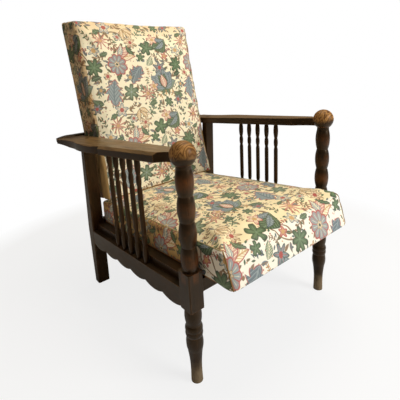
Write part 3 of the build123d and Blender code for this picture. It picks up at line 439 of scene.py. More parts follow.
LEAVES = (
    # the broad palmette, from its outer petals in
    (78, 56, 28, 58, 0.34, 0.5, SAGE, MIST, PINE),
    (78, 56, 176, 56, 0.34, -0.5, SAGE, MIST, PINE),
    (78, 56, 62, 72, 0.36, 0.35, MIST, SLATE, SLATE),
    (78, 56, 140, 72, 0.36, -0.35, MIST, SLATE, SLATE),
    (78, 60, 101, 80, 0.4, 0.0, MIST, SLATE, SLATE),
    (78, 58, 84, 56, 0.3, 0.3, GREEN, SAGE, PINE, 4, 0.3),
    (78, 58, 118, 56, 0.3, -0.3, GREEN, SAGE, PINE, 4, 0.3),
    (78, 62, 101, 50, 0.26, 0.0, ROSE, CREAM, CORAL),
    (78, 58, 292, 30, 0.26, 0.6, GREEN, SAGE, PINE, 3, 0.3),
    (78, 58, 250, 32, 0.26, -0.6, GREEN, SAGE, PINE, 3, 0.3),
    # broad serrated leaves edged in red
    (206, 8, 78, 92, 0.42, 0.25, MIST, SLATE, CORAL, 5, 0.42),
    (346, 150, 232, 78, 0.42, -0.25, SLATE, MIST, CORAL, 5, 0.42),
    # the hooked bell
    (118, 262, 205, 76, 0.4, 0.6, GREEN, SAGE, PINE),
    (112, 258, 214, 62, 0.22, 0.6, MIST, SLATE, PINE, 7, 0.3),
    (118, 266, 172, 58, 0.26, 0.7, SLATE, MIST, PINE, 6, 0.35),
    # trumpets beside the round flower
    (262, 176, 12, 62, 0.24, 0.35, CREAM, OCHRE, CORAL),
    (262, 178, 44, 66, 0.24, 0.3, ROSE, CREAM, CORAL),
    (258, 180, 76, 56, 0.24, -0.3, MIST, CREAM, CORAL),
    (300, 300, 300, 52, 0.2, 0.5, OCHRE, CREAM, BARK),
    (300, 300, 265, 46, 0.2, -0.4, OCHRE, CREAM, BARK),
    (300, 300, 332, 44, 0.2, 0.4, OCHRE, CREAM, BARK),
    # single leaves
    (160, 20, 150, 44, 0.28, 0.4, GREEN, SAGE, PINE),
    (240, 96, 60, 40, 0.26, 0.5, PINE, SAGE, PINE, 4, 0.3),
    (12, 150, 60, 42, 0.28, -0.6, SAGE, CREAM, GREEN),
    (322, 196, 120, 44, 0.26, 0.5, GREEN, SAGE, PINE, 5, 0.35),
    (130, 106, 15, 38, 0.28, 0.4, PINE, SAGE, PINE, 4, 0.3),
    (214, 206, 190, 34, 0.3, 0.4, GREEN, SAGE, PINE, 4, 0.3),
    (24, 16, 200, 36, 0.28, 0.3, GREEN, SAGE, PINE),
    (176, 276, 20, 36, 0.3, 0.3, GREEN, SAGE, PINE, 4, 0.3),
)
BLOOMS = (
    (150, 152, 20, 29, 7, 0.42, 2.2, GREEN, FERN, PINE, SAGE, 0.1),
    (22, 222, 70, 28, 5, 0.48, 2.4, GREEN, FERN, PINE, SAGE, 0.1),
    (282, 56, 200, 28, 6, 0.44, 2.2, GREEN, SAGE, PINE, MIST, 0.1),
    (348, 186, 10, 17, 5, 0.48, 2.4, GREEN, FERN, PINE, SAGE, 0.12),
    (82, 4, 40, 17, 6, 0.45, 2.2, GREEN, FERN, PINE, SAGE, 0.12),
    (270, 268, 0, 15, 6, 0.5, 0.9, MIST, CREAM, SLATE, CORAL, 0.34),
    (158, 70, 0, 15, 5, 0.48, 0.9, SLATE, MIST, PINE, OCHRE, 0.36),
    (246, 160, 20, 36, 9, 0.16, 1.4, MIST, MIST, CORAL, CREAM, 0.2),
    (246, 160, 35, 12, 6, 0.4, 1.0, OCHRE, CREAM, BARK, PINE, 0.3),
    (200, 250, 15, 32, 10, 0.8, 0.5, CORAL, ROSE, CORAL, OCHRE, 0.16),
    (350, 46, 0, 30, 9, 0.8, 0.5, CORAL, ROSE, CORAL, OCHRE, 0.18),
    (66, 142, 40, 27, 6, 0.5, 0.8, SLATE, MIST, PINE, CORAL, 0.26),
    (228, 304, 10, 25, 5, 0.45, 0.9, MIST, CREAM, SLATE, CORAL, 0.3),
    (318, 246, 80, 24, 7, 0.55, 0.7, OCHRE, CREAM, BARK, CORAL, 0.26),
    (58, 262, 30, 22, 5, 0.45, 0.9, ROSE, CREAM, CORAL, OCHRE, 0.3),
    (160, 212, 70, 21, 5, 0.5, 0.8, MIST, CREAM, SLATE, OCHRE, 0.34),
    (130, 8, 0, 20, 6, 0.5, 0.8, SLATE, MIST, PINE, CORAL, 0.3),
    (26, 70, 20, 18, 5, 0.5, 0.8, ROSE, CREAM, CORAL, OCHRE, 0.36),
    (196, 118, 0, 15, 5, 0.4, 0.9, OCHRE, CREAM, BARK, CORAL, 0.4),
    (98, 190, 0, 15, 5, 0.45, 0.9, CORAL, ROSE, CORAL, OCHRE, 0.36),
    (288, 112, 0, 16, 5, 0.45, 0.9, SLATE, MIST, PINE, OCHRE, 0.4),
)


# Far too small a share to see; it ties each motif's place to the motif below it
TIE = 1e-9


def print_group():
    """The whole printed pattern over its ground, from stems up to flowers.

    Each motif's place waits for the motif below it, so that the chain is worked out one motif at a time."""
    n, given = new_group("garden_print", "v:Cloth c:Ground", "c:Print")
    wander = n.noise(given["Cloth"], 16.0, 2.0)
    shift = n.add("CombineXYZ", {"X": wander, "Y": wander}).outputs[0]
    cloth = n.vector("MULTIPLY_ADD", shift, (0.012, -0.012, 0), given["Cloth"])[0]
    colour = given["Ground"]
    for row in SPRINKLES:
        sown = dict(zip(("Spacing", "Long", "Wide", "Share", "First", "Second", "Third"), row))
        colour = n.group(SPRINKLE, Under=colour, Cloth=cloth, **sown)["Print"]
    kinds = (
        (FROND, FRONDS, "Sweep Thick Leaves Long Fill Stem"),
        (LEAF, LEAVES, "Width Bend Fill Vein Edge Teeth Tooth"),
        (BLOOM, BLOOMS, "Petals Depth Point Fill Shade Edge Heart Core"),
    )
    for group, rows, labels in kinds:
        for x, y, turn, size, *rest in rows:
            cloth = n.vector("MULTIPLY_ADD", colour, (TIE, TIE, TIE), cloth)[0]
            own = dict(zip(labels.split(), rest), Centre=(x / 1000, y / 1000, 0), Turn=math.radians(turn))
            own["Size"] = MOTIF_SCALE * size / 1000
            colour = n.group(group, Under=colour, Cloth=cloth, **own)["Print"]
    return n.give(Print=colour)


PRINT = print_group()


# Finishes


def make_floral(name, ground, shade_band=None, crease_depth_and_shade=0.0):
    """Printed cotton: the garden print on one ground, faded in patches.

    The third argument paints shade over the ground: the shade's colour, its share, the axis and place where
    it begins, and how sharply.
    The fourth argument gives how deep the creases are where the cloth is pulled round an edge, and how dark
    their painted shade is."""
    material, n = new_material(name)
    cloth = n.add("UVMap", uv_map="cloth").outputs[0]
    own = n.own()
    base = ground
    # Painted shade: past a place along one axis, the ground darkens toward the shade colour
    if shade_band:
        brown, share, axis, start, sharp = shade_band
        along = n.times_plus(n.noise(own, 9.0, 2.0), 0.03, n.split(own)[axis])
        base = n.mix(n.times(n.step(along, start + 0.015, sharp), share), base, brown)
    printed = n.group(PRINT, Cloth=cloth, Ground=base)["Print"]
    weave = n.group(WEAVE, Place=cloth, Threads=900.0)
    faded = n.times(n.step(n.noise(own, 7.0, 4.0, 0.6), 0.5, 1.6), 0.14)
    colour = n.mix(0.18, n.mix(faded, printed, base), weave["Slub"], "OVERLAY")
    creases = n.noise(n.stretch(own, (1.0, 1.0, 1.6)), 34.0, 4.0, 0.55, 0.6)
    # Painted shade: the colour is darkened in the creases
    if crease_depth_and_shade:
        fold_shade = n.mix(n.step(creases, 0.46, 5.0), "7A5636", "F0D6AC")
        colour = n.mix(crease_depth_and_shade, colour, fold_shade, "MULTIPLY")
    n.bump((0.22 + crease_depth_and_shade, 0.004, creases), (0.3, 0.0004, weave["Height"]))
    n.fill(n.end, {"Base Color": colour, "Roughness": n.times_plus(weave["Slub"], 0.12, 0.78)})
    n.fill(n.end, {"Specular IOR Level": 0.25, "Sheen Weight": 0.12, "Sheen Roughness": 0.5})
    return material


def make_plain_cloth(name, colour, dark, threads, rough=0.86):
    """Plain woven cloth with uneven threads and a little grime."""
    material, n = new_material(name)
    own = n.own()
    tilted = n.add("Mapping", {"Vector": own, "Rotation": (1.37, 0.0, 0.0)}).outputs[0]
    weave = n.group(WEAVE, Place=tilted, Threads=threads)
    shade = n.mix(n.step(n.noise(own, 9.0, 5.0, 0.6), 0.5, 1.5), colour, dark)
    creases = n.noise(n.stretch(own, (1.0, 1.0, 0.35)), 46.0, 3.0, 0.5, 0.8)
    n.bump((0.35, 0.004, creases), (0.4, 0.0005, weave["Height"]))
    n.fill(n.end, {"Base Color": n.mix(0.3, shade, weave["Slub"], "OVERLAY")})
    n.fill(n.end, {"Roughness": rough, "Specular IOR Level": 0.25})
    return material


def rub(n, own, colour, width, patches, share, bare):
    """Wears the edges down to a barer colour, and also returns where they are worn."""
    worn = n.group(WEAR, Place=own, Width=width, Patches=patches)["Worn"]
    return n.mix(n.times(worn, share), colour, bare), worn


def finish_stained(n, grain, colour, rough, pored, dust, raised, gloss):
    """Pores, dust, relief and old polish over stained timber.

    gloss is the specular level, the coat's weight and the coat's roughness."""
    colour = n.mix(n.times(grain["Pores"], pored), colour, "150D08")
    n.bump((raised, 0.0006, grain["Height"]))
    n.fill(n.end, {"Base Color": n.mix(dust, colour, "857659"), "Roughness": rough})
    n.fill(n.end, dict(zip(("Specular IOR Level", "Coat Weight", "Coat Roughness"), gloss)))
    n.fill(n.end, {"Specular Tint": "FFD9A8"})


def make_dark_wood(name, along, top_wear=0.0):
    """Old stained and polished timber, worn lighter along its edges and, on arms, on top."""
    material, n = new_material(name)
    own = n.own()
    grain = n.group(GRAIN, Place=own, Along=along)
    colour = n.mix(n.step(grain["Streaks"], 0.5, 2.4), "150E07", "30200F")
    blotch = n.step(n.noise(own, 13.0, 4.0, 0.6), 0.56, 3.0)
    colour = n.mix(n.times(blotch, 0.4), colour, "42240E")
    colour, worn = rub(n, own, colour, 0.0035, 38.0, 0.75, "7A5532")
    if top_wear:
        thin = n.step(n.noise(n.stretch(own, (14.0, 1.4, 9.0)), 4.0, 4.0, 0.6), 0.4, 2.6)
        handled = n.times(n.step(n.up(), 0.72, 5.0), thin, top_wear)
        colour = n.mix(handled, colour, "8A6A40")
    dust = n.group(DUST, Place=own, Amount=0.07)["Dust"]
    rough = n.times_plus(worn, 0.25, n.times_plus(grain["Streaks"], 0.25, 0.2))
    rough = n.times_plus(dust, 1.2, rough, clamp=True)
    finish_stained(n, grain, colour, rough, 0.55, dust, 0.25, (0.28, 0.06, 0.22))
    return material


def make_post_wood(name):
    """The turned posts: bobbins rubbed red-brown where widest, balls worn to ringed timber, scuffed feet."""
    material, n = new_material(name)
    own = n.own()
    at = n.split(own)
    grain = n.group(GRAIN, Place=own, Along=(34.0, 34.0, 3.5))
    colour = n.mix(n.step(grain["Streaks"], 0.5, 2.4), "140D07", "2C1C0E")
    across = n.less(n.maths("ABSOLUTE", at["X"]), POST_REACH)
    deep = n.less(at["Y"], POST_LINE)
    radius = n.maths("SQRT", n.times_plus(across, across, n.times(deep, deep)))
    patch = n.step(n.noise(own, 22.0, 4.0, 0.6), 0.5, 4.0)
    wide = n.times(n.step(radius, 0.0212, 420.0), n.rest(n.step(radius, 0.0236, 900.0)))
    rubbed = n.times(wide, patch, 0.72, n.step(at["Z"], 0.3, 90.0))
    colour = n.mix(rubbed, colour, "5E3210")
    colour, _ = rub(n, own, colour, 0.003, 30.0, 0.6, "7A5230")
    rings = n.noise(n.stretch(own, (7.0, 34.0, 15.0)), 1.5, 2.0, 0.45, 0.5)
    ring_line = n.maths("PINGPONG", n.times(rings, 11.0), 0.5)
    timber = n.mix(n.times(ring_line, 2.0), "5A3717", "B9864A")
    bare = n.step(n.times_plus(n.noise(own, 16.0, 3.0), 0.03, at["Z"]), 0.632, 70.0)
    bare = n.times(n.step(at["Z"], 0.6, 60.0), bare)
    colour = n.mix(n.times(bare, 0.9), colour, timber)
    low = n.less(0.08, n.times_plus(n.noise(own, 30.0, 4.0), 0.06, at["Z"]))
    scuffed = n.step(low, 0.0, 26.0)
    colour = n.mix(n.times(scuffed, 0.78), colour, "857359")
    dust = n.group(DUST, Place=own, Amount=0.05)["Dust"]
    rough = n.times_plus(grain["Streaks"], 0.22, 0.2)
    rough = n.times_plus(n.maths("MAXIMUM", scuffed, bare), 0.3, rough, clamp=True)
    finish_stained(n, grain, colour, rough, 0.4, dust, 0.22, (0.3, 0.1, 0.2))
    return material


def make_pale_wood(name, along):
    """Bare orange-brown beech of the hidden frames."""
    material, n = new_material(name)
    own = n.own()
    grain = n.group(GRAIN, Place=own, Along=along)
    colour = n.mix(grain["Streaks"], "8F5A2C", "B9824A")
    colour = n.mix(n.times(grain["Pores"], 0.4), colour, "5E3819")
    colour, _ = rub(n, own, colour, 0.002, 40.0, 0.5, "C79B63")
    n.bump((0.3, 0.0005, grain["Height"]))
    n.fill(n.end, {"Base Color": colour, "Roughness": 0.62})
    return material


def make_steel(name, colour, rough):
    """Dull mild steel with fine scratches and patches of rust."""
    material, n = new_material(name)
    own = n.own()
    scratch = n.noise(n.stretch(own, (400.0, 60.0, 60.0)), 1.0, 4.0, 0.7)
    rust = n.step(n.noise(own, 160.0, 4.0, 0.6), 0.62, 8.0)
    n.bump((0.2, 0.0002, scratch))
    n.fill(n.end, {"Base Color": n.mix(n.times(rust, 0.6), colour, "5B3A24")})
    n.fill(n.end, {"Roughness": n.times_plus(scratch, 0.3, rough), "Metallic": n.rest(n.times(rust, 0.8))})
    return material


# Painted light: the seat's top and front are one cloth; the top's ground is painted yellower as if under warm
# light from above, and the front's whiter as if under daylight
FLORAL_TOP = make_floral("floral_cotton_top", "F3E1B4")
FLORAL_FRONT = make_floral("floral_cotton_front", "F6EFDD")
# Painted shade: the back's ground turns tan toward its top edge
FLORAL_BACK = make_floral("floral_cotton_back", "F7ECCB", ("DDB273", 0.6, "Z", 0.935, 13.0))
# Painted shade: the seat border's ground is pale at the front and darkened behind the post line, as the arms'
# shade
FLORAL_BORDER = make_floral("floral_cotton_border", "F2E8D4", ("CFA868", 1.0, "Y", POST_LINE + 0.03, 11.0))
# Painted shade: the back's sides and rear get a darker ground and darkened creases, as if in shade
FLORAL_SHADED_WRAP = make_floral("floral_cotton_wrap_painted_shade", "E6CFA6", None, 0.5)
LINING = make_plain_cloth("tan_lining", "C6A06A", "A6834F", 700.0)
DUST_CLOTH = make_plain_cloth("black_dust_cloth", "38322B", "2A251F", 500.0)
JUTE = make_plain_cloth("jute_webbing", "9C8458", "7A6340", 320.0, 0.92)
PIPING = make_plain_cloth("ochre_piping", "97733F", "755528", 900.0)
SELF_PIPING = make_plain_cloth("cream_piping", "DCC99B", "B9A06C", 900.0)
POST_WOOD = make_post_wood("dark_wood_turned")
# How the figure is drawn out in each direction, by the way the timber runs
GRAIN_WAYS = (("upright", (30.0, 30.0, 3.0)), ("long", (30.0, 3.0, 30.0)), ("cross", (3.0, 30.0, 30.0)))
UPRIGHT_WOOD, LONG_WOOD, CROSS_WOOD = (make_dark_wood(f"dark_wood_{way}", drawn) for way, drawn in GRAIN_WAYS)
PALE_UPRIGHT, PALE_LONG, PALE_CROSS = (make_pale_wood(f"beech_{way}", drawn) for way, drawn in GRAIN_WAYS)
ARM_WOOD = make_dark_wood("dark_wood_arm", (34.0, 3.0, 34.0), 0.9)
STEEL = make_steel("hinge_steel", "57524C", 0.3)
TACK_STEEL = make_steel("tack_steel", "3A3530", 0.35)


# Pads


def unit(value):
    """The value kept between 0 and 1."""
    return min(1.0, max(0.0, value))


def soft_corner(x, t, half, low, high, radii):
    """Moves a point of a square-cornered plan to its place in the round-cornered one.

    radii are those of the low end's left corner, its right corner and the high end's corners."""
    low_left, low_right, high_radius = radii
    low_radius = low_left if x < 0 else low_right
    radius, edge, way = (low_radius, low, -1) if t < (low + high) / 2 else (high_radius, high, 1)
    if not radius:
        return x, t
    u = (abs(x) - (half - radius)) / radius
    v = (way * (t - edge) + radius) / radius
    if u <= 0 or v <= 0:
        return x, t
    pull = max(u, v) / math.hypot(u, v)
    return math.copysign(half - radius + u * pull * radius, x), edge - way * radius + way * v * pull * radius


# The outer points give way by this share of an edge's softness, and the next ones in by this share of that
OUTER_GIVE = 0.3
NEXT_GIVE = 0.16


def make_pad(name, place, half, low_at, high_at, deep, cells, radii, draw_in, crown, soft):
    """A closed pad as one net of squares: a crowned face, borders in rows and a flat underside.

    low_at and high_at give the plan's two ends at a height, and draw_in how far the sides are drawn in there.
    soft gives how round the face's edges are: its low end, high end and sides. Returns the piece, each
    point's place before rounding, each face's zone, and the rings of points from the underside up."""
    across, along, rows = cells
    soft_low, soft_high, soft_side = (OUTER_GIVE * r for r in soft)
    points, flat, faces, zones = [], [], [], []

    def put(i, j, h):
        low, high = low_at(h), high_at(h)
        x = -half + 2 * half * i / across
        t = low + (high - low) * j / along
        px, pt = soft_corner(x, t, half, low, high, radii)
        middle = 1 - ((t - low) / (high - low) * 2 - 1) ** 2
        px *= 1 - draw_in(h) * middle / half
        lift = 0.0
        if h == deep:
            lift = crown * (1 - (2 * i / across - 1) ** 2) ** 0.7 * max(middle, 0) ** 0.7
            ends = (soft_low * (j == 0), soft_high * (j == along), soft_side * (i in (0, across)))
            px -= math.copysign(ends[2], px)
            pt += ends[0] - ends[1]
            lift -= max(ends)
            next_in = (soft_low * (j == 1), soft_high * (j == along - 1), soft_side * (i in (1, across - 1)))
            lift -= NEXT_GIVE * max(next_in) * (max(ends) == 0)
        points.append((px, pt, h + lift))
        flat.append((x, t, h))
        return len(points) - 1

    top, under = [[[put(i, j, h) for i in range(across + 1)] for j in range(along + 1)] for h in (deep, 0.0)]
    for j in range(along):
        for i in range(across):
            faces.append((top[j][i], top[j][i + 1], top[j + 1][i + 1], top[j + 1][i]))
            faces.append((under[j][i], under[j + 1][i], under[j + 1][i + 1], under[j][i + 1]))
            zones += ["face", "under"]
    ring = [(i, 0, "low") for i in range(across)] + [(across, j, "right") for j in range(along)]
    ring += [(across - i, along, "high") for i in range(across)]
    ring += [(0, along - j, "left") for j in range(along)]
    levels = [[under[j][i] for i, j, _ in ring]]
    levels += [[put(i, j, deep * r / rows) for i, j, _ in ring] for r in range(1, rows)]
    levels.append([top[j][i] for i, j, _ in ring])
    for below, above in zip(levels, levels[1:]):
        for k, (_, _, zone) in enumerate(ring):
            m = (k + 1) % len(ring)
            faces.append((below[k], below[m], above[m], above[k]))
            zones.append(zone)
    mesh = bpy.data.meshes.new(name)
    mesh.from_pydata(points, [], faces)
    mesh.polygons.foreach_set("use_smooth", [True] * len(faces))
    piece = show(name, mesh)
    piece.matrix_world = place
    return piece, flat, zones, levels


STUFFING_FRAMES = 20
# Keeps a point that hasn't moved from a division by zero
TINY = 1e-9
STUFFING = {
    "quality": 6,
    "mass": 0.3,
    "tension_stiffness": 12,
    "compression_stiffness": 12,
    "bending_stiffness": 0.6,
    "use_pressure": True,
    "uniform_pressure_force": 4.0,
    "vertex_group_mass": "held",
}


def stuff(piece, flat, held, limit):
    """Blows the pad up like stuffing in its cover, with each point held back to its own limit."""
    start = np.array([v.co for v in piece.data.vertices])
    keep = piece.vertex_groups.new(name="held")
    for index, point in enumerate(flat):
        keep.add([index], held(*point), "REPLACE")
    cloth = piece.modifiers.new("stuffing", "CLOTH")
    for key, value in STUFFING.items():
        setattr(cloth.settings, key, value)
    cloth.settings.effector_weights.gravity = 0
    cloth.point_cache.frame_start = 1
    cloth.point_cache.frame_end = STUFFING_FRAMES
    scene = bpy.context.scene
    for number in range(1, STUFFING_FRAMES + 1):
        scene.frame_set(number)
    ready = piece.evaluated_get(bpy.context.evaluated_depsgraph_get()).to_mesh()
    blown = np.array([v.co for v in ready.vertices])
    piece.modifiers.remove(cloth)
    piece.vertex_groups.remove(keep)
    scene.frame_set(1)
    shift = blown - start
    most = np.array([limit(*point) for point in flat])
    size = np.linalg.norm(shift, axis=1)
    shift *= np.minimum(1.0, most / np.maximum(size, TINY))[:, None]
    return start + shift


def settle(piece, places):
    for vertex, place in zip(piece.data.vertices, places):
        vertex.co = place
    piece.data.update()


def ruffle(piece, flat, amount):
    """Moves each point along its normal by a height that amount gives for its place before rounding."""
    settle(piece, [v.co + v.normal * amount(*place) for v, place in zip(piece.data.vertices, flat)])


def lay_print(piece, flat, zones, place_on_cloth, finish_of, finishes):
    """Writes the cloth's own coordinates in metres and each face's finish."""
    mesh = piece.data
    layer = mesh.uv_layers.new(name="cloth")
    for face, zone in zip(mesh.polygons, zones):
        face.material_index = finish_of(zone, face)
        for corner in face.loop_indices:
            layer.data[corner].uv = place_on_cloth(zone, *flat[mesh.loops[corner].vertex_index])
    for finish in finishes:
        mesh.materials.append(finish)


def finish_pad(piece, seams):
    """Rounds the pad off with one subdivision, stands it in the room and returns where its seams run."""
    points = [piece.matrix_world @ vertex.co for vertex in piece.data.vertices]
    paths = {key: [points[i] for i in line] for key, line in seams.items()}
    smooth = piece.modifiers.new("smooth", "SUBSURF")
    smooth.levels = smooth.render_levels = 1
    ready = bpy.data.meshes.new_from_object(piece.evaluated_get(bpy.context.evaluated_depsgraph_get()))
    piece.modifiers.remove(smooth)
    name = piece.data.name
    piece.data = ready
    ready.name = name
    stand(piece)
    return paths


def stand(piece):
    """Writes the piece's place into its mesh, so that its own axes are the room's."""
    piece.data.transform(piece.matrix_world)
    piece.matrix_world = Matrix.Identity(4)


def ripple(place, size, seed):
    return noise.noise(Vector(place) / size + Vector((seed, 0.37 * seed, 1.7)))


SEAT_HALF = 0.2495
SEAT_DEEP = 0.088
SEAT_REAR = 0.574
SEAT_NOSE_LOW = -0.1185
SEAT_NOSE_HIGH = -0.0935
SEAT_CELLS = (50, 69, 9)
# Up to here the cover lies flat on the seat's wooden frame
SEAT_FLAT = 0.055
# The stuffing leaves the cover in place below the first height, and nearly so below the second
SEAT_HELD = 0.02
SEAT_PART_HELD = 0.05


def seat_low(h):
    return SEAT_NOSE_LOW + (SEAT_NOSE_HIGH - SEAT_NOSE_LOW) * h / SEAT_DEEP


def make_seat_pad():
    piece, flat, zones, levels = make_pad(
        "seat_cover", SEAT_PLACE, SEAT_HALF, seat_low, lambda h: SEAT_REAR, SEAT_DEEP, SEAT_CELLS,
        radii=(0.018, 0.024, 0.004),
        draw_in=lambda h: 0.003 if h > SEAT_FLAT else 0.0,
        crown=0.006,
        soft=(0.02, 0.004, 0.007),
    )

    def limit(x, t, h):
        if h >= SEAT_DEEP:
            return 0.011
        return 0.004 if h > SEAT_PART_HELD else 0.0015

    def held(x, t, h):
        return 1.0 if h < SEAT_HELD else (0.25 if h < SEAT_PART_HELD else 0.0)

    places = stuff(piece, flat, held, limit)
    for (x, t, h), place, vertex in zip(flat, places, piece.data.vertices):
        rest = vertex.co
        raised, right = h / SEAT_DEEP, max(0.0, x / SEAT_HALF)
        if h < SEAT_FLAT:
            if abs(x) > SEAT_HALF - 0.001:
                place[0] = math.copysign(max(abs(place[0]), abs(rest.x)), rest.x)
            place[2] = rest.z
            if t < seat_low(h) + 0.001:
                place[1] = min(place[1], rest.y)
        # The rear corners reach back, and the nose's right corner is plump
        if t == SEAT_REAR:
            place[1] += 0.016 * unit((abs(x) - 0.19) / 0.03)
        plump = right**3 * math.exp(-max(0.0, t - seat_low(h)) / 0.05) * raised**2
        place += np.array((0.001, -0.008, 0.002)) * plump
        # The right side is fuller toward the front, the nose's underside hangs, and the rear slopes down
        place[2] += 0.011 * unit((0.46 - t) / 0.55) ** 0.8 * right**2 * raised**2
        place[2] -= 0.006 * unit((-0.04 - t) / 0.05) * (1 - raised) ** 3
        place[2] -= 0.002 * max(0.0, (t - 0.3) / 0.274) ** 2 * raised
    settle(piece, places)

    def amount(x, t, h):
        if h == 0:
            return 0.0
        soft = 0.0016 * ripple((x, t, h), 0.11, 3.1) + 0.0007 * ripple((x, t * 0.6, h), 0.035, 8.2)
        if h == SEAT_DEEP:
            side, front = SEAT_HALF - abs(x), t - SEAT_NOSE_HIGH
            calm = min(1.0, 0.25 + max(side, 0) / 0.08)
            gather = math.exp(-max(min(side, front), 0) / 0.014) * min(1.0, max(side, front) / 0.08)
            return soft * calm + 0.001 * gather * ripple((x * 1.2, t * 1.2, 0), 0.016, 5.0)
        return soft + 0.0008 * (1 + h / SEAT_DEEP) * ripple((x, t, h * 0.25), 0.018, 5.0)

    ruffle(piece, flat, amount)

    def on_cloth(zone, x, t, h):
        if zone == "low":
            return x + 0.13, SEAT_NOSE_HIGH - (SEAT_DEEP - h)
        if zone in ("left", "right"):
            return math.copysign(1, x) * t + 0.06, h + 0.15
        if zone == "high":
            return x + 0.13, SEAT_REAR + SEAT_DEEP - h
        return x + 0.13, t

    finish = {"face": 0, "low": 1, "left": 3, "right": 3, "high": 3, "under": 2}
    finishes = (FLORAL_TOP, FLORAL_FRONT, DUST_CLOTH, FLORAL_BORDER)
    lay_print(piece, flat, zones, on_cloth, lambda zone, face: finish[zone], finishes)
    across, along, _ = SEAT_CELLS
    rim = levels[-1]
    seams = {
        "corner_left": [level[0] for level in levels],
        "corner_right": [level[across] for level in levels],
        "top_right": rim[across : across + along + 1],
        "top_left": rim[-along:] + rim[:1],
    }
    paths = finish_pad(piece, seams)
    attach(piece, "seat")
    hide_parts("seat_cushion")
    return piece, paths


BACK_HALF = 0.2455
BACK_DEEP = 0.128
BACK_HIGH = 0.631
BACK_RISE = 0.028
BACK_CELLS = (50, 64, 12)
BOARD_HIGH = 0.0225
BOARD_DEEP = 0.0745
LINING_TOP = 0.2


def back_low(h):
    return BOARD_HIGH if h < BOARD_DEEP else -0.005


def back_high(h):
    return BACK_HIGH + BACK_RISE * (1 - h / BACK_DEEP)


def make_back_pad():
    place = BACK_PLACE @ Matrix.Translation((0, 0, -BACK_DEEP))
    piece, flat, zones, levels = make_pad(
        "back_cover", place, BACK_HALF, back_low, back_high, BACK_DEEP, BACK_CELLS,
        radii=(0.0, 0.0, 0.014),
        draw_in=lambda h: 0.002,
        crown=0.005,
        soft=(0.002, 0.012, 0.018),
    )

    def limit(x, t, h):
        if h >= BACK_DEEP:
            return 0.010 * min(1.0, 0.3 + max(t, 0) / 0.12)
        if t < 0.05:
            return 0.0008
        return 0.003 if 0 < h else 0.0

    def held(x, t, h):
        return 1.0 if h < 0.012 or t < 0.03 and h < BACK_DEEP else 0.0

    places = stuff(piece, flat, held, limit)
    # The top's left corner stands up like an ear
    for (x, t, h), at in zip(flat, places):
        at[1] += 0.014 * max(0.0, (0.1 - x) / (0.1 + BACK_HALF)) ** 1.3 * max(0.0, t / BACK_HIGH) ** 3
    settle(piece, places)

    def amount(x, t, h):
        if h == 0:
            return 0.0
        soft = 0.002 * ripple((x, t, h), 0.12, 6.3) + 0.0009 * ripple((x, t, h), 0.04, 2.2)
        if h == BACK_DEEP:
            edge = min(BACK_HALF - abs(x), BACK_HIGH - t)
            return soft + 0.001 * math.exp(-max(edge, 0) / 0.012) * ripple((x, t, 0), 0.014, 5.0)
        if t < 0.13:
            return soft + 0.0032 * min(1.0, t / 0.04) * ripple((0, t * 0.5, h), 0.011, 9.0)
        pleat = 0.0032 if t > LINING_TOP else 0.0015
        return soft + pleat * ripple((x * 0.4, t, h * 0.35), 0.02, 4.0)

    ruffle(piece, flat, amount)

    def on_cloth(zone, x, t, h):
        round_side = BACK_DEEP - h
        if zone in ("left", "right"):
            return math.copysign(BACK_HALF + round_side, x), t
        if zone == "high":
            return x, BACK_HIGH + round_side
        if zone == "low":
            return x, -round_side
        if zone == "under":
            return math.copysign(BACK_HALF + BACK_DEEP + BACK_HALF - abs(x), x), t
        return x, t

    def finish(zone, face):
        if zone in ("left", "right"):
            height = sum(flat[i][1] for i in face.vertices) / 4
            return 1 if height < LINING_TOP else 2
        return 2 if zone == "under" else 0

    lay_print(piece, flat, zones, on_cloth, finish, (FLORAL_BACK, LINING, FLORAL_SHADED_WRAP))
    across, along, _ = BACK_CELLS
    rim = levels[-1]
    hem = round(LINING_TOP / BACK_HIGH * along)
    seams = {
        "foot": rim[: across + 1],
        "hem_right": [level[across + hem] for level in levels],
        "hem_left": [level[len(rim) - hem] for level in levels],
    }
    paths = finish_pad(piece, seams)
    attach(piece, "back")
    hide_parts("back_cushion")
    return piece, paths, place


# Trim


def resample(points, spacing):
    """The same open line with points at an even spacing."""
    line = np.array(points)
    steps = np.concatenate(([0.0], np.cumsum(np.linalg.norm(np.diff(line, axis=0), axis=1))))
    even = np.linspace(0.0, steps[-1], max(2, round(steps[-1] / spacing)) + 1)
    return [Vector(place) for place in zip(*(np.interp(even, steps, part) for part in line.T))]


def join_rings(build, rings):
    """Smooth faces from ring to ring and over the last one; returns the flat face over the first."""
    for one, two in zip(rings, rings[1:]):
        for s in range(len(one)):
            m = (s + 1) % len(one)
            build.faces.new((one[s], one[m], two[m], two[s])).smooth = True
    build.faces.new(rings[-1]).smooth = True
    return build.faces.new(rings[0][::-1])


def show_build(name, build, material):
    mesh = bpy.data.meshes.new(name)
    build.to_mesh(mesh)
    build.free()
    mesh.materials.append(material)
    return show(name, mesh)


PIPING_SIDES = 8
PIPING_STEP = 0.004


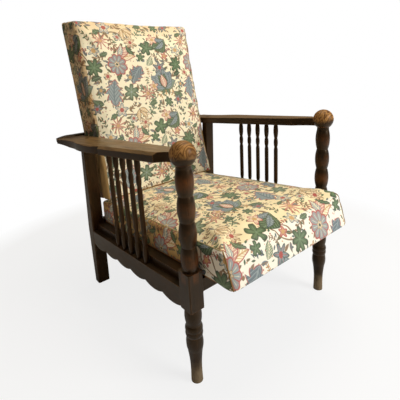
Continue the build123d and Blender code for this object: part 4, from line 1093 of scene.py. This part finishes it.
def make_piping(name, pad, path, radius, material, body, sunk=0.35):
    """A covered cord sewn along a seam of a pad, with rounded ends."""
    tree = BVHTree.FromPolygons([v.co for v in pad.data.vertices], [p.vertices[:] for p in pad.data.polygons])
    line = []
    for point in resample(path, PIPING_STEP):
        near, normal, _, _ = tree.find_nearest(point)
        line.append(near + normal * radius * (1 - 2 * sunk))
    for _ in range(2):
        line = [line[0]] + [(a + 2 * b + c) / 4 for a, b, c in zip(line, line[1:], line[2:])] + [line[-1]]
    last = len(line) - 1
    turns = [math.tau * s / PIPING_SIDES for s in range(PIPING_SIDES)]
    build = bmesh.new()
    rings = []
    for k, point in enumerate(line):
        ahead = (line[min(k + 1, last)] - line[max(k - 1, 0)]).normalized()
        _, normal, _, _ = tree.find_nearest(point)
        beside = ahead.cross(normal).normalized()
        above = beside.cross(ahead)
        fat = radius * (0.55 if k in (0, last) else 1.0)
        ring = [point + (beside * math.cos(a) + above * math.sin(a)) * fat for a in turns]
        rings.append([build.verts.new(place) for place in ring])
    join_rings(build, rings).smooth = True
    bmesh.ops.recalc_face_normals(build, faces=build.faces)
    piece = show_build(name, build, material)
    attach(piece, body)


def make_turned_set(name, places, outline, sides, material, body):
    """Several alike turned pieces in one mesh; outline gives radius and height from the foot up."""
    build = bmesh.new()
    turns = [math.tau * s / sides for s in range(sides)]
    for place in places:
        rings = []
        for radius, height in outline:
            ring = [Vector((radius * math.cos(a), radius * math.sin(a), height)) for a in turns]
            rings.append([build.verts.new(place @ point) for point in ring])
        join_rings(build, rings)
    piece = show_build(name, build, material)
    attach(piece, body)


TACK = (
    (0.0008, -0.001), (0.0042, 0.0), (0.0045, 0.0006), (0.0036, 0.0018), (0.0016, 0.0026), (0.0004, 0.0028)
)
TACK_IN = 0.006
PLUG = ((0.0075, -0.002), (0.0078, 0.0), (0.0074, 0.0007), (0.004, 0.0011), (0.0005, 0.0012))

LINING_HALF = 0.236
LINING_CELLS = (48, 60)
# How many gaps lie between the lining's tacks across and up
TACK_GAPS = (13, 16)


def make_lining(place):
    """The plain cloth tacked over the rear of the back's frame, slack between its tacks."""
    half, low, high = LINING_HALF, BOARD_HIGH + 0.001, BACK_HIGH - 0.008
    across, along = LINING_CELLS
    build = bmesh.new()
    net = []
    for j in range(along + 1):
        row = []
        for i in range(across + 1):
            x = -half + 2 * half * i / across
            t = low + (high - low) * j / along
            inner = (1 - abs(2 * i / across - 1) ** 6) * (1 - abs(2 * j / along - 1) ** 6)
            edge = min(half - abs(x), t - low, high - t)
            pucker = math.exp(-edge / 0.02) * (1 - math.exp(-edge / 0.004))
            lift = 0.0012 + 0.0022 * inner + 0.0016 * pucker * math.cos(math.tau * (x + t) / 0.036)
            lift += 0.0012 * inner * ripple((x, t, 0), 0.09, 4.4)
            row.append(build.verts.new((x, t, -lift)))
        net.append(row)
    for near, far in zip(net, net[1:]):
        for i in range(across):
            build.faces.new((near[i], far[i], far[i + 1], near[i + 1])).smooth = True
    piece = show_build("back_lining_cloth", build, LINING)
    piece.matrix_world = place
    stand(piece)
    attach(piece, "back")
    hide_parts("back_lining")
    side, foot, top = half - TACK_IN, low + TACK_IN, high - TACK_IN
    spots = []
    gaps_across, gaps_up = TACK_GAPS
    for k in range(gaps_across + 1):
        x = -side + 2 * side * k / gaps_across
        spots += [(x, foot), (x, top)]
    for k in range(1, gaps_up):
        t = foot + (top - foot) * k / gaps_up
        spots += [(-side, t), (side, t)]
    down = Matrix.Rotation(math.pi, 4, "X")
    places = [place @ Matrix.Translation((x, t, -0.0016)) @ down for x, t in spots]
    make_turned_set("lining_tacks", places, TACK, 10, TACK_STEEL, "back")


def make_arm_plugs():
    """The turned plugs over the screws that hold each arm to its rear post."""
    slope = Matrix.Rotation(-math.atan(ARM_SLOPE), 4, "X")
    y, z = POST_LINE + PLUG_BACK, ARM_HIGH - ARM_SLOPE * PLUG_BACK
    spots = [(x, y, z) for x in (-PLUG_REACH, PLUG_REACH)]
    places = [Matrix.Translation(spot) @ slope for spot in spots]
    make_turned_set("arm_screw_plugs", places, PLUG, 18, CROSS_WOOD, "frame")


# Light and floor


FLOOR_HALF = 12
# The floor is at least this white to the camera, and all white further out
FLOOR_WHITE = 0.8


def make_floor():
    """A pale floor that keeps the chair's shadow near it and runs out to white."""
    mesh = bpy.data.meshes.new("floor")
    corners = [(x * FLOOR_HALF, y * FLOOR_HALF, 0) for x, y in ((-1, -1), (1, -1), (1, 1), (-1, 1))]
    mesh.from_pydata(corners, [], [(0, 1, 2, 3)])
    floor = show("floor", mesh)
    material, n = blank_material("pale_floor")
    far = n.vector("LENGTH", n.own())["Value"]
    edge = n.maths("MAXIMUM", n.step(far, 0.66, 1.0), FLOOR_WHITE)
    pale = n.add("BsdfDiffuse", {"Color": (0.8, 0.8, 0.8, 1)}).outputs[0]
    white = n.add("Emission", {"Color": (1, 1, 1, 1), "Strength": 1.0}).outputs[0]
    share = n.times(edge, n.add("LightPath").outputs["Is Camera Ray"])
    joined = n.add("MixShader", {0: share, 1: pale, 2: white})
    n.add("OutputMaterial", {0: joined.outputs[0]})
    mesh.materials.append(material)


def make_world():
    world = bpy.data.worlds.new("world")
    bpy.context.scene.world = world
    world.use_nodes = True
    world.node_tree.nodes.clear()
    n = Nodes(world.node_tree)
    seen = n.add("LightPath").outputs["Is Camera Ray"]
    colour = n.mix(seen, (1, 0.9, 0.76, 1), (1, 1, 1, 1))
    sky = n.add("Background", {"Color": colour, "Strength": n.times_plus(seen, 0.82, 0.18)})
    n.add("OutputWorld", {0: sky.outputs[0]})


def make_lamp(name, place, aim, size, power, colour=(1, 1, 1)):
    data = bpy.data.lights.new(name, "AREA")
    data.shape = "RECTANGLE"
    data.size, data.size_y = size
    data.energy = power
    data.color = colour
    lamp = show(name, data)
    lamp.location = place
    lamp.rotation_mode = "QUATERNION"
    lamp.rotation_quaternion = (Vector(aim) - Vector(place)).to_track_quat("-Z", "Y")


# Each solid's finish goes by the start of its name; the rest are the hidden frames' cross pieces
NODE_FINISHES = (
    (("front_post",), POST_WOOD),
    (("rear_post", "spindle"), UPRIGHT_WOOD),
    (("arm",), ARM_WOOD),
    (("side_rail", "runner"), LONG_WOOD),
    (("front_rail", "rear_rail", "rear_cross_rail"), CROSS_WOOD),
    (("seat_webbing", "back_webbing"), JUTE),
    (("hinge",), STEEL),
    (("seat_side",), PALE_LONG),
    (("back_stile",), PALE_UPRIGHT),
    (("",), PALE_CROSS),
)


def dress_nodes():
    for name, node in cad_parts.items():
        material = next(finish for starts, finish in NODE_FINISHES if name.startswith(starts))
        node.data.materials.clear()
        node.data.materials.append(material)


make_camera()
make_world()
make_floor()
make_lamp("window", (1.1, -2.5, 1.7), (0, -0.1, 0.4), (1.3, 1.3), 66)
make_lamp("ceiling", (0.6, 0.1, 2.8), (0, 0, 0.3), (1.8, 1.8), 38, (1, 0.92, 0.78))
make_lamp("room", (-2.4, -1.0, 1.9), (0, 0, 0.4), (0.5, 0.8), 3, (1, 0.82, 0.6))

seat_pad, seat_paths = make_seat_pad()
back_pad, back_paths, back_place = make_back_pad()
for key in ("corner_left", "corner_right"):
    make_piping(f"seat_{key}_piping", seat_pad, seat_paths[key], 0.0017, PIPING, "seat")
for key in ("top_left", "top_right"):
    make_piping(f"seat_{key}_seam", seat_pad, seat_paths[key], 0.0013, SELF_PIPING, "seat", 0.45)
make_piping("back_foot_piping", back_pad, back_paths["foot"], 0.0026, PIPING, "back")
for key in ("hem_left", "hem_right"):
    make_piping(f"back_{key}_seam", back_pad, back_paths[key], 0.0013, SELF_PIPING, "back", 0.4)
make_lining(back_place)
make_arm_plugs()
dress_nodes()
bpy.context.scene.view_settings.view_transform = "Standard"
